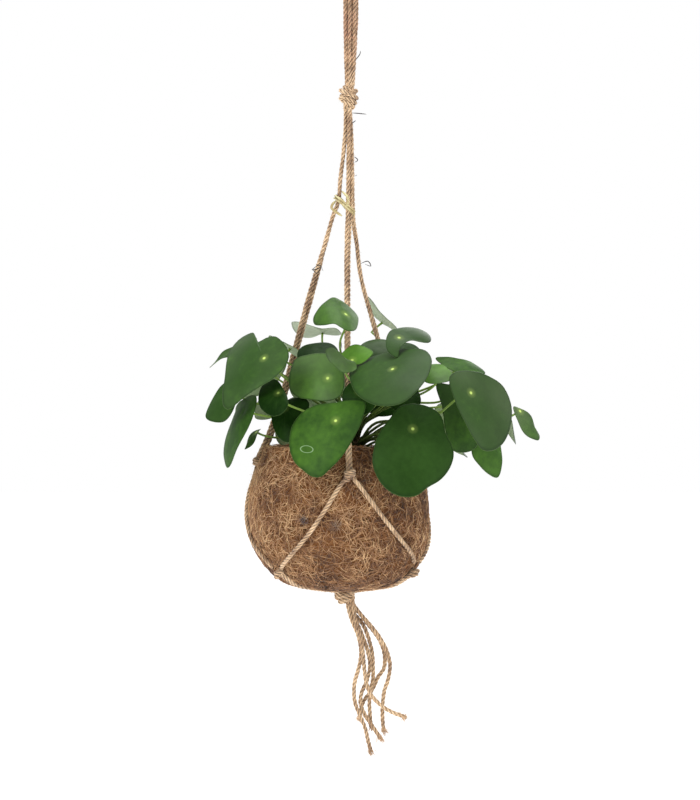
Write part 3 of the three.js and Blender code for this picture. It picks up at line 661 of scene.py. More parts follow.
loop = {
    "side": [(2.35, -120.5), (2.35, -80), (2.6, -50), (3.6, -34), (6.6, -20), (8.2, -8), (5.904, -0.26)],
    "crown": 2.2,
    "pitch": 4.8,
    "bunch": [0.5, 0.8, 0.95, 1, 1, 1, 1],
    "backShift": [0.4, 1.2, 1.8, 1.8, 1.4, 0.6, 0],
    "sways": [
        [(-0.6, 0), (-0.4, -0.6), (-0.2, 0.3), (0, 0), (-0.4, 0), (-0.2, 0), (0, 0)],
        [(0.2, -1.6), (-0.5, -0.8), (-0.2, -1.2), (-0.5, -0.5), (-0.4, 0), (-0.2, 0), (0, 0)],
        [(-0.4, 0.2), (0.3, 0.2), (-0.3, -0.4), (0.3, 0), (0, 0), (0, 0), (0, 0)],
    ],
    "belowPitch": 4.7,
    "belowDepths": (-2.3, 2.3),
    "throughKnot": [(0.5, 0, 1, -118), (0.6, -1.5, 1, -131), (0.6, -1.7, 1.6, -143.5)],
    "wraps": [
        dict(centre=(-1.5, 0, -132.5), radius=7.2, height=17, turns=3.7, start=250, tilt=-2.4, drawIn=0.4),
        dict(centre=(-1.5, 0, -129.4), radius=8.3, height=2, turns=1.4, start=130, tilt=-3.6, drawIn=0.2),
        dict(centre=(-1.5, 0, -129.8), radius=8.1, height=2, turns=1.4, start=310, tilt=3.6, drawIn=0.2),
    ],
}


def makeHangingLoop():
    routes = []
    for shift, sway in zip((-1, 0, 1), loop["sways"]):
        x = shift * loop["pitch"]
        front, back = [], []
        for (y, z), (along, deep), share, beside in zip(
                loop["side"], sway, loop["bunch"], loop["backShift"]):
            front.append((x * share + along, deep - y, z))
            back.append((x * share + beside, y - deep, z))
        routes.append(smoothRoute([*front, (x, 0, loop["crown"]), *back[::-1]]))
    # The strands run on through the knot to meet the legs below it
    for shift in (-1, 0, 1):
        for y in loop["belowDepths"]:
            routes.append(smoothRoute(throughKnot(shift * loop["belowPitch"], y, loop["throughKnot"])))
    routes += [wrapRoute(**wrap) for wrap in loop["wraps"]]
    return settle(layTwine("hangingStrands", routes), "jute", "hanging_loop")


# Legs: a pair of strands down to the upper knot, then two single cords over the pot

legs = {
    "left_leg": {
        "piece": "leftLegTwine",
        "route": [
            (-4.3, 0, -143.3, 90), (-4.4, 0, -160, 90), (-6.3, 0, -186, 90), (-9.6, 0.6, -214, 90),
            (-11.6, 1, -236, 90), (-17, 2, -251, 90), (-26.7, 6, -285, 80), (-37.4, 10.5, -322, 45),
            (-52, 16, -375, 40), (-65, 21, -423, 30), (-80, 26, -468, 20),
        ],
        "knot": (-107, -496),
        "spread": [
            [(-102, -512), (-93, -533), (-83, -556), (-73, -577), (-64, -594), (-60, -600.4)],
            [(-114, -512), (-126, -535), (-142, -560), (-156, -580), (-166, -594), (-169, -600)],
        ],
    },
    "front_leg": {
        "piece": "frontLegTwine",
        "route": [
            (-0.2, -5, -143.3, 90), (-0.1, -4.9, -160, 70), (0.2, -3.1, -184, 42), (-0.1, -3.2, -214, 42),
            (-0.6, -4, -240, 45), (-2.4, -14, -285, 60), (-2.6, -29, -332, 60), (-2.4, -45, -382, 60),
            (-1.8, -62, -434, 60), (-1.2, -80, -488, 62),
        ],
        "knot": (7, -507),
        "spread": [
            [(1, -518), (-6, -536), (-19, -566), (-32, -584), (-45, -596), (-50, -600.4)],
            [(13, -518), (21, -535), (30, -553), (42, -572), (57, -588), (63, -595)],
        ],
    },
    "right_leg": {
        "piece": "rightLegTwine",
        "route": [
            (-0.1, 5, -143.3, 90), (0.2, 4.9, -160, 70), (0.4, 3.3, -184, 45), (0.8, 3.5, -214, 45),
            (1.8, 4, -240, 60), (3.4, 5.6, -257, 80), (6.8, 9, -279, 90), (9.8, 14, -305, 90),
            (14.4, 18, -326, 90), (20.2, 22, -346, 80), (32, 31, -388, 70), (42, 39, -432, 60),
            (51, 46, -474, 60),
        ],
        "knot": (127, -498),
        "spread": [
            [(121, -512), (112, -532), (102, -555), (90, -577), (80, -590), (76, -596)],
            [(133, -512), (143, -532), (156, -558), (170, -580), (180, -596), (182, -600)],
        ],
    },
}
upperKnot = dict(radius=4.0, height=9.0, turns=2.6, tilt=1.6)
upperKnotOff = 6.4
cordOff = 3.1


def pairRoutes(route):
    # Two strands side by side, turned at each place by the angle given there
    x, y, z, angle = np.array(route, float).T
    along, deep = np.cos(np.radians(angle)), np.sin(np.radians(angle))
    pair = []
    for side in (-1, 1):
        reach = side * twine["pairPitch"] / 2
        pair.append(smoothRoute(np.stack([x + reach * along, y + reach * deep, z], axis=1)))
    return pair


def makeLeg(node, leg):
    centre = besidePot(*leg["knot"], upperKnotOff)
    routes = pairRoutes([*leg["route"], (*centre, leg["route"][-1][3])])
    for angles in leg["spread"]:
        onPot = [besidePot(angle, height, cordOff) for angle, height in angles]
        routes.append(smoothRoute([centre, *onPot]))
    routes.append(wrapRoute(centre, start=leg["knot"][0] + 120, **upperKnot))
    return settle(layTwine(leg["piece"], routes), "jute", node)


# Lower net: three lower knots, a pair from each under the pot, and the bottom knot

net = {
    "lowerKnots": [(-53, -605.4, 8.2), (67, -606, 9.6), (-175, -605.4, 8.2)],
    "lowerWrap": dict(radius=3.5, height=6.0, turns=1.8, tilt=1.6),
    "under": [(0.88, -611), (0.72, -618.2), (0.5, -621.8), (0.25, -624.4), (0.06, -626.6)],
    "bottomMiddle": (-5, 0),
    "bottomWraps": [
        dict(centre=(-5.4, 0, -629.8), radius=8.3, height=5, turns=2.3, start=200, tilt=1.2, tuck=0.2),
        dict(centre=(-3.4, 0, -634.2), radius=6.8, height=3, turns=1.8, start=60, tilt=1.6, tuck=0.2),
    ],
    "throughKnot": [(0.5, -2, 0.6, -625.5), (0.8, 0, 0.9, -633), (1, 0, 1, -638.6)],
}


def makeLowerNet():
    routes = []
    middle = np.array(net["bottomMiddle"])
    for angle, height, off in net["lowerKnots"]:
        centre = besidePot(angle, height, off)
        inwards = []
        for share, z in [(1, height), *net["under"]]:
            inwards.append((*(middle + (centre[:2] - middle) * share), z, angle))
        routes += pairRoutes(inwards)
        routes.append(wrapRoute(centre, start=angle + 100, **net["lowerWrap"]))
    routes += [wrapRoute(**wrap) for wrap in net["bottomWraps"]]
    for points in tails["routes"]:
        routes.append(smoothRoute(throughKnot(*points[0][:2], net["throughKnot"])))
    return settle(layTwine("lowerNetTwine", routes), "jute", "lower_net")


strands = [makeHangingLoop(), *[makeLeg(node, leg) for node, leg in legs.items()], makeLowerNet()]
settle(fuzzFor("strandFuzz", strands, twine["strandFuzzSeed"]), "jute")
print("hanger laid")


# Raffia: a pale flat ribbon tied round the strands

raffia = {
    "width": 2.6,
    "thickness": 0.35,
    "spacing": 1.6,
    "startShare": 0.55,
    "turn": [
        (-15.7, 0.6, -232.6), (-13.8, -4.8, -234.4), (-8, -7.4, -239), (-3.2, -10.2, -243.4),
        (1.8, -8.6, -247.4), (4.6, -4.6, -250), (1.4, -1, -249), (-4.8, 3.4, -242.6),
        (-9.4, 7.8, -236.4), (-14.4, 6.4, -233),
    ],
    "ends": [
        [(-13.8, -4.8, -236), (-17.6, -7.5, -240), (-18.4, -8.8, -243.5), (-14, -9.6, -247.5),
         (-7.9, -9.6, -251.6)],
        [(-3.2, -10.2, -243.4), (-2, -12, -234), (-8, -11.4, -227)],
    ],
    "secondTurn": (0.8, -0.6, 2.4),
    "fibreScales": (2400.0, 160.0),
    "straw": (0.34, 0.25, 0.10),
    "pale": (0.70, 0.66, 0.38),
}


def makeRaffiaMaterial():
    material, tree, shader = startMaterial("raffiaRibbon", roughness=0.6, specular=0.4)
    ring = attribute(tree, "ribbonRing")["Vector"]
    streaks, blotches = placeFibreEffect(tree, ring, *raffia["fibreScales"])
    toneAndShade = blend(tree, streaks, 0.5, blotches, 0.5)
    feed(tree, shader, colour=ramp(tree, toneAndShade, [(0.15, raffia["straw"]), (0.85, raffia["pale"])]),
         normal=bump(tree, streaks, 0.0002, 0.6))
    return material


def makeRibbonTree():
    tree, entry = startTree("layRibbon", "Width", "Thickness", "Spacing")
    path = curveOf(tree, entry, entry["Spacing"])
    position = geoNode(tree, "InputPosition")
    twist = spread(tree, speckle(tree, position, 60.0, 1.0), 0.3, 0.7, -0.9, 0.9)
    path = geoNode(tree, "SetCurveTilt", {"Curve": path, "Tilt": twist})
    flat = geoNode(tree, "CurvePrimitiveQuadrilateral", {
        "Width": entry["Thickness"], "Height": entry["Width"]})
    flat = keepValue(tree, flat, "ribbonRing", position, "FLOAT_VECTOR")
    return endTree(tree, sweep(tree, path, flat, narrowAtEnds(tree, 0.35, 0.6)), entry)


def tieRaffia():
    turn = smoothRoute(raffia["turn"], fineStep, closed=True)
    start = int(len(turn) * raffia["startShare"])
    # The second turn lies a little beside the first, so that the tie reads as a wrap
    second = turn + raffia["secondTurn"]
    wound = np.concatenate([turn[start:], turn[:start], second[start:], second[:start]])
    routes = [wound[::2], *[smoothRoute(points, fineStep) for points in raffia["ends"]]]
    piece = growPiece("raffiaTie", routeMesh("raffiaTie", routes), makeRibbonTree(), {
        "Width": raffia["width"] * mm, "Thickness": raffia["thickness"] * mm,
        "Spacing": raffia["spacing"] * mm, "Material": makeRaffiaMaterial()})
    return settle(piece, "raffia", "raffia_tie")


# Loose fibres that stand off the strands here and there
strays = {
    "radius": 0.48,
    "routes": [
        [(5, -4, -96), (8, -5, -92.5), (10.2, -5, -89), (10.4, -5, -86.5)],
        [(2, -5, -148.4), (9, -6, -149), (16.4, -6, -149.8)],
        [(2, -5, -158.5), (4, -6, -157.5), (5.6, -6, -156)],
        [(4, -3, -192), (6, -4, -193.2), (8, -4, -195.2), (6.4, -4, -196.8), (4.6, -4, -197.6)],
        [(4.4, -3, -211.4), (6.8, -4, -210.4)],
        [(-34, 4, -299), (-29, 0, -302), (-38, -1, -305), (-30, -2, -300), (-27, -2, -306)],
        [(-38, 5, -304), (-33, 1, -308), (-29, 0, -303)],
        [(11, 8, -298), (18, 5, -296), (21, 4, -301), (15, 4, -299)],
        [(-8, -34, -368), (-9, -37, -376), (-8, -38, -384)],
    ],
}


def drawStrays():
    dark = startMaterial("darkFibre", colour=(*twine["stray"], 1), roughness=0.7)[0]
    routes = [smoothRoute(points, fineStep) for points in strays["routes"]]
    return drawStrands("strayFibres", routes, strays["radius"], dark)


tieRaffia()
drawStrays()
print("tie and loose fibres done")


# Coir pot: a matted shell, three coats of fibres over it, and strays that stand off

coir = {
    "turns": 180,
    "ringStep": 2.5,
    "bumps": [(16, 0.9), (5, 0.45), (2, 0.45)],
    "sag": 3.2,
    "sagBelow": -595.0,
    "rimWaver": 2.4,
    "rimWaverSize": 13.0,
    "rimWaverAbove": -496.0,
    "coats": [
        dict(piece="coirCoatDeep", count=3700, length=28, radius=0.34, low=-0.1, high=0.4, curl=0.4,
             tone=(0.0, 0.5), seed=21),
        dict(piece="coirCoatMiddle", count=6200, length=21, radius=0.28, low=0.5, high=1.1, curl=0.3,
             tone=(0.05, 1.0), seed=22),
        dict(piece="coirCoatTop", count=6600, length=17, radius=0.26, low=1.1, high=1.8, curl=0.3,
             tone=(0.05, 1.4), seed=23),
    ],
    "strayDensity": 18000.0,
    "strayLength": 7.5,
    "strayRadius": 0.16,
    "strayTilt": 1.25,
    "straySeed": 24,
    "feltScales": (420.0, 34.0),
    "fibreScales": (300.0, 26.0),
    # Painted shade: how much darker the fibres are towards the bottom, and on the right side
    "shadeBelow": 0.24,
    "shadeBelowHeights": (-0.624, -0.585),
    "shadeRight": 0.12,
    "shadeRightPlaces": (-0.01, 0.03),
    "strayTone": 0.5,
    "stains": [((-45, 0, -552), 6.5, 0.75), ((-13, 0, -557), 8.0, 0.5)],
    "stain": (0.060, 0.062, 0.075),
    # Painted shade for the deep gaps between the fibres
    "gap": (0.030, 0.013, 0.006),
    "brown": (0.215, 0.088, 0.030),
    "tan": (0.430, 0.220, 0.090),
    "straw": (0.740, 0.480, 0.245),
}


def makeCoirMaterials():
    # The felt below is darker than the fibres over it: its near-black colour is painted
    # shade for the deep gaps between the fibres
    felt, tree, shader = startMaterial("coirFelt", roughness=0.95, specular=0.15)
    streaks, blotches = placeFibreEffect(tree, objectPlace(tree), *coir["feltScales"])
    toneAndShade = blend(tree, streaks, 0.6, blotches, 0.3)
    feed(tree, shader, colour=ramp(tree, toneAndShade, [(0.1, coir["gap"]), (0.75, coir["brown"])]),
         normal=bump(tree, streaks, 0.0012, 0.9))

    fibre, tree, shader = startMaterial("coirFibre", roughness=0.8, specular=0.25, sheen=0.15,
                                        sheenSpread=0.6)
    tone = attribute(tree, "fibreTone")["Fac"]
    x, y, z = splitParts(tree, objectPlace(tree))
    streaks, blotches = placeFibreEffect(tree, objectPlace(tree), *coir["fibreScales"])
    toneAndShade = blend(tree, blotches, 0.35, tone, 0.65)
    toneAndShade = calc(tree, "MULTIPLY_ADD", streaks, 0.2, minus(tree, toneAndShade, 0.1))
    # Painted shade: the fibres darken towards the bottom and on the right side
    toneAndShade = minus(tree, toneAndShade, spread(tree, z, *coir["shadeBelowHeights"], coir["shadeBelow"], 0.0))
    toneAndShade = minus(tree, toneAndShade, spread(tree, x, *coir["shadeRightPlaces"], 0.0, coir["shadeRight"]))
    # The darkest fibres take the same painted gap shade
    colour = ramp(tree, toneAndShade, [
        (0.0, coir["gap"]), (0.3, coir["brown"]), (0.65, coir["tan"]), (1.0, coir["straw"])])
    # Two grey-blue stains on the front
    ragged = spread(tree, streaks, 0.0, 1.0, -0.002, 0.002)
    for place, radius, strength in coir["stains"]:
        away = vectorCalc(tree, "DISTANCE", joinParts(tree, x=x, z=z), np.array(place) * mm, get="Value")
        away = plus(tree, away, ragged)
        mask = spread(tree, away, radius * mm / 3, radius * mm, strength, 0.0)
        mask = times(tree, mask, calc(tree, "LESS_THAN", y, 0.0))
        colour = tint(tree, mask, colour, coir["stain"])
    feed(tree, shader, colour=colour, normal=bump(tree, streaks, 0.0002, 0.5))
    return felt, fibre


def makeCoatTree():
    # Bent fibres scattered over a wall, pressed down on it and lifted a little by what they cross
    tree, entry = startTree("layCoirCoat", "Density", "Fibre Length", "Fibre Radius", "Curl", "Low",
                            "High", "Darkest", "Palest", counts=["Seed"])
    points = scatter(tree, entry)
    tone = randomValue(tree, entry["Darkest"], entry["Palest"], 31)
    dots = keepValue(tree, points["Points"], "fibreTone", tone)
    dots = keepValue(tree, dots, "fibreLift", randomValue(tree, entry["Low"], entry["High"], 32))
    spin = joinParts(tree, z=randomValue(tree, 0.0, fullTurn, 33))
    rotation = turnLocally(tree, points["Rotation"], spin)
    bow = bentCurve(tree, (-0.5, 0, 0), (0, 1, 0), (0.5, 0, 0), steps=4)
    reach = times(tree, entry["Fibre Length"], randomValue(tree, 0.4, 1.0, 34))
    curl = times(tree, entry["Curl"], randomValue(tree, -1.0, 1.0, 35))
    size = joinParts(tree, reach, times(tree, reach, curl), reach)
    fibres = copyToPoints(tree, dots, bow, rotation, size)
    position = geoNode(tree, "InputPosition")
    wander = addNode(tree, "ShaderNodeTexNoise", {
        "Vector": position, "Scale": 70.0, "Detail": 1.0}).outputs[1]
    wander = scaleVector(tree, vectorCalc(tree, "SUBTRACT", wander, (0.5, 0.5, 0.5)), 0.007)
    fibres = geoNode(tree, "SetPosition", {"Geometry": fibres, "Offset": wander})
    wall = geoNode(tree, "Proximity", {0: entry["Geometry"]}, target_element="FACES")
    outward = geoNode(tree, "SampleNearestSurface", {
        "Mesh": entry["Geometry"], "Value": geoNode(tree, "InputNormal")}, data_type="FLOAT_VECTOR")
    cross = spread(tree, speckle(tree, position, 160.0, 1.0), 0.3, 0.7, -0.0004, 0.0004)
    lift = plus(tree, readValue(tree, "fibreLift"), cross)
    pressed = vectorCalc(tree, "ADD", wall, scaleVector(tree, outward, lift))
    fibres = geoNode(tree, "SetPosition", {"Geometry": fibres, "Position": pressed})
    circle = circleOf(tree, 3, entry["Fibre Radius"])
    return endTree(tree, sweep(tree, fibres, circle, narrowAtEnds(tree, 0.1, 0.4)), entry)


def latheRings(profile, turns, place):
    # Rings of places from a profile of radius and height; place says where each belongs
    angles = np.arange(turns) * fullTurn / turns
    return np.concatenate([place(angles, radius, height) for radius, height in profile])


def ringFaces(rings, turns, first=0):
    faces = []
    for low in range(first, first + (rings - 1) * turns, turns):
        high = low + turns
        for i in range(turns):
            j = (i + 1) % turns
            faces.append((low + i, low + j, high + j, high + i))
    return faces


def cappedFaces(rings, turns, first=0):
    # The same with a cap over the first ring and the last
    last = first + (rings - 1) * turns
    caps = [tuple(range(first, first + turns))[::-1], tuple(range(last, last + turns))]
    return ringFaces(rings, turns, first) + caps


def roughen(places, normals, amounts):
    # Moves each place along its normal by layers of noise: (size in mm, height in mm)
    moved = places.copy()
    for i, place in enumerate(places):
        push = sum(height * noise.noise(Vector(place) / size) for size, height in amounts)
        moved[i] += normals[i] * push
    return moved


def ringNormals(places, rings, turns):
    grid = places.reshape(rings, turns, 3)
    around = np.roll(grid, -1, axis=1) - np.roll(grid, 1, axis=1)
    up = np.empty_like(grid)
    up[1:-1] = grid[2:] - grid[:-2]
    up[0], up[-1] = grid[1] - grid[0], grid[-1] - grid[-2]
    normals = np.cross(around, up)
    normals /= np.linalg.norm(normals, axis=2, keepdims=True) + 1e-12
    return normals.reshape(-1, 3)


def potOutline():
    points = np.array([(4, -620.6), (18, -620.3), *pot["profile"], *pot["rim"]])
    points[:, 1] -= coir["sag"] * np.clip((coir["sagBelow"] - points[:, 1]) / 25, 0, 1)
    outer = smoothRoute(points, coir["ringStep"])
    points = np.array(pot["profile"])
    run = np.gradient(points, axis=0)
    run /= np.linalg.norm(run, axis=1, keepdims=True)
    inner = points + pot["wall"] * np.stack([-run[:, 1], run[:, 0]], axis=1)
    inner = smoothRoute([*inner[::-2], (4, -613.6)], 6.0)
    return outer, inner


def makeCoirPot():
    felt, fibre = makeCoirMaterials()
    outer, inner = potOutline()
    turns = coir["turns"]
    rings = len(outer) + len(inner)
    places = latheRings([*outer, *inner], turns, potPlace)
    for place in places:
        nearRim = np.clip((place[2] - coir["rimWaverAbove"]) / 12, 0, 1)
        place[2] += coir["rimWaver"] * nearRim * noise.noise(Vector(place) / coir["rimWaverSize"])
    normals = ringNormals(places, rings, turns)
    rough = roughen(places, normals, coir["bumps"])
    # The inside is smooth, so the lumps fade out over the rim
    share = np.repeat(np.clip((len(outer) - np.arange(rings)) / 6, 0, 1), turns)[:, None]
    rough = places + (rough - places) * share
    shell = makePiece("coirShell", makeMesh("coirShell", rough, cappedFaces(rings, turns)), felt)
    settle(shell, "coir", "coir_pot")

    tree = makeCoatTree()
    wall = makeMesh("coirWall", places[:len(outer) * turns], ringFaces(len(outer), turns))
    area = sum(face.area for face in wall.polygons)
    for coat in coir["coats"]:
        piece = growPiece(coat["piece"], wall.copy(), tree, {
            "Density": coat["count"] / area, "Fibre Length": coat["length"] * mm,
            "Fibre Radius": coat["radius"] * mm, "Curl": coat["curl"], "Low": coat["low"] * mm,
            "High": coat["high"] * mm, "Darkest": coat["tone"][0], "Palest": coat["tone"][1],
            "Seed": coat["seed"], "Material": fibre})
        settle(piece, "coir")
    loose = growPiece("coirStrays", wall.copy(), fuzzTree, {
        "Density": coir["strayDensity"], "Hair Length": coir["strayLength"] * mm,
        "Hair Radius": coir["strayRadius"] * mm, "Tilt": coir["strayTilt"],
        "Seed": coir["straySeed"], "Material": fibre})
    settle(loose, "coir")
    keepNumbers(loose.data, "fibreTone", np.full(len(loose.data.vertices), coir["strayTone"]))
    print("coir pot done")


makeCoirPot()


# Plastic pot inside the coir, and the soil in it

growPot = {
    "base": (40, -606.8),
    "rim": (66, -484),
    "wall": 1.5,
    "turns": 96,
    "black": (0.018, 0.018, 0.017),
    "scuffed": (0.05, 0.048, 0.045),
}
soil = {
    "level": -489.0,
    "clear": 2.1,
    "turns": 120,
    "crumbs": [(14, 2.0), (4, 1.3)],
    "grainDensity": 85000.0,
    "grainSize": 1.5,
    "grainSeed": 51,
    "dark": (0.018, 0.010, 0.006),
    "brown": (0.085, 0.048, 0.026),
}


def aroundAxis(axisX, axisY=0.0):
    def place(turn, radius, height):
        x, y = axisX + radius * np.sin(turn), axisY - radius * np.cos(turn)
        return np.stack([x, y, height + 0 * turn], axis=-1)
    return place


def makeGrowPot():
    material, tree, shader = startMaterial("growPotPlastic", specular=0.4)
    grain = speckle(tree, objectPlace(tree), 900.0, 3.0)
    dust = speckle(tree, objectPlace(tree), 45.0, 5.0)
    feed(tree, shader, colour=ramp(tree, dust, [(0.45, growPot["black"]), (0.75, growPot["scuffed"])]),
         roughness=spread(tree, dust, 0.3, 0.7, 0.42, 0.7), normal=bump(tree, grain, 0.0002, 0.4))
    (baseRadius, baseHeight), (rimRadius, rimHeight) = growPot["base"], growPot["rim"]
    wall = growPot["wall"]
    profile = [
        (2, baseHeight), (baseRadius - 1, baseHeight), (baseRadius, baseHeight + 1),
        (rimRadius - 0.4, rimHeight - 3), (rimRadius, rimHeight - 0.8), (rimRadius - 0.4, rimHeight),
        (rimRadius - wall + 0.2, rimHeight), (rimRadius - wall, rimHeight - 0.8),
        (baseRadius - wall, baseHeight + wall), (2, baseHeight + wall),
    ]
    places = latheRings(profile, growPot["turns"], aroundAxis(pot["axis"]))
    mesh = makeMesh("growPotShell", places, cappedFaces(len(profile), growPot["turns"]))
    settle(makePiece("growPotShell", mesh, material), "plastic", "grow_pot")


def makeGrainTree():
    tree, entry = startTree("scatterGrains", "Density", "Grain Size", counts=["Seed"])
    points = scatter(tree, entry)
    grain = geoNode(tree, "MeshIcoSphere", {"Radius": 0.5, "Subdivisions": 1})
    turn = turnOf(tree, randomVector(tree, (0.0, 0.0, 0.0), (fullTurn,) * 3, 4))
    shape = randomVector(tree, (0.4, 0.4, 0.3), (1.3, 1.0, 0.8), 6)
    size = scaleVector(tree, shape, entry["Grain Size"])
    return endTree(tree, copyToPoints(tree, points["Points"], grain, turn, size), entry)


def makeSoil():
    material, tree, shader = startMaterial("pottingSoil", roughness=0.97, specular=0.2)
    crumbs = speckle(tree, objectPlace(tree), 260.0, 6.0)
    feed(tree, shader, colour=ramp(tree, crumbs, [(0.35, soil["dark"]), (0.7, soil["brown"])]),
         normal=bump(tree, crumbs, 0.0015, 0.9))
    (baseRadius, baseHeight), (rimRadius, rimHeight) = growPot["base"], growPot["rim"]
    edge = soil["level"] - 1
    share = (edge - baseHeight) / (rimHeight - baseHeight)
    top = baseRadius + share * (rimRadius - baseRadius) - soil["clear"]
    floor = (baseRadius - soil["clear"], baseHeight + soil["clear"])
    profile = [(0.5, floor[1]), floor, (top, edge)]
    for radius in np.linspace(top - 2, 0.5, 26):
        profile.append((radius, soil["level"] + 1 - 2 * (radius / top) ** 2))
    turns = soil["turns"]
    places = latheRings(profile, turns, aroundAxis(pot["axis"]))
    upward = np.zeros_like(places)
    upward[3 * turns:, 2] = 1
    places = roughen(places, upward, soil["crumbs"])
    mesh = makeMesh("soilBed", places, cappedFaces(len(profile), turns))
    bed = settle(makePiece("soilBed", mesh, material), "soil", "soil")
    ground = [tuple(face.vertices) for face in bed.data.polygons if face.index >= 3 * turns]
    grains = growPiece("soilGrains", makeMesh("soilGround", places, ground), makeGrainTree(), {
        "Density": soil["grainDensity"], "Grain Size": soil["grainSize"] * mm,
        "Seed": soil["grainSeed"], "Material": material})
    settle(grains, "soil")


makeGrowPot()
makeSoil()


# Main stem: short and woody, ringed with the scars of fallen leaves

stem = {
    "axis": (4.0, 0.0),
    "radius": 6.5,
    "top": -440.0,
    "bottom": -500.0,
    "turns": 40,
    "scars": 15,
    "scarDepth": 0.45,
    "bumps": [(6, 0.5), (2, 0.3)],
    "greenHeights": (-0.475, -0.442),
    "bark": (0.17, 0.115, 0.06),
    "green": (0.24, 0.27, 0.085),
    "dark": (0.05, 0.032, 0.018),
}


def makeStem():
    material, tree, shader = startMaterial("woodyStem", roughness=0.75, specular=0.3)
    place = objectPlace(tree)
    bark = speckle(tree, place, 520.0, 5.0, 0.65)
    young = spread(tree, splitParts(tree, place)[2], *stem["greenHeights"])
    woody = ramp(tree, bark, [(0.3, stem["dark"]), (0.62, stem["bark"])])
    fresh = ramp(tree, bark, [(0.3, stem["bark"]), (0.7, stem["green"])])
    feed(tree, shader, colour=mixColour(tree, young, woody, fresh), normal=bump(tree, bark, 0.0008, 0.7))
    radius, top, bottom = stem["radius"], stem["top"], stem["bottom"]
    profile = [(0.3, bottom)]
    for z in np.linspace(bottom, top, 60):
        rib = stem["scarDepth"] * np.abs(np.sin((z - bottom) / (top - bottom) * np.pi * stem["scars"]))
        profile.append((radius - 0.5 + rib, z))
    profile += [(radius * 0.8, top + 3.5), (radius * 0.5, top + 6), (0.3, top + 7)]
    places = latheRings(profile, stem["turns"], aroundAxis(*stem["axis"]))
    normals = ringNormals(places, len(profile), stem["turns"])
    places = roughen(places, normals, stem["bumps"])
    mesh = makeMesh("scarredStem", places, cappedFaces(len(profile), stem["turns"]))
    settle(makePiece("scarredStem", mesh, material), "stem", "main_stem")


makeStem()
print("soil, inner pot and stem done")
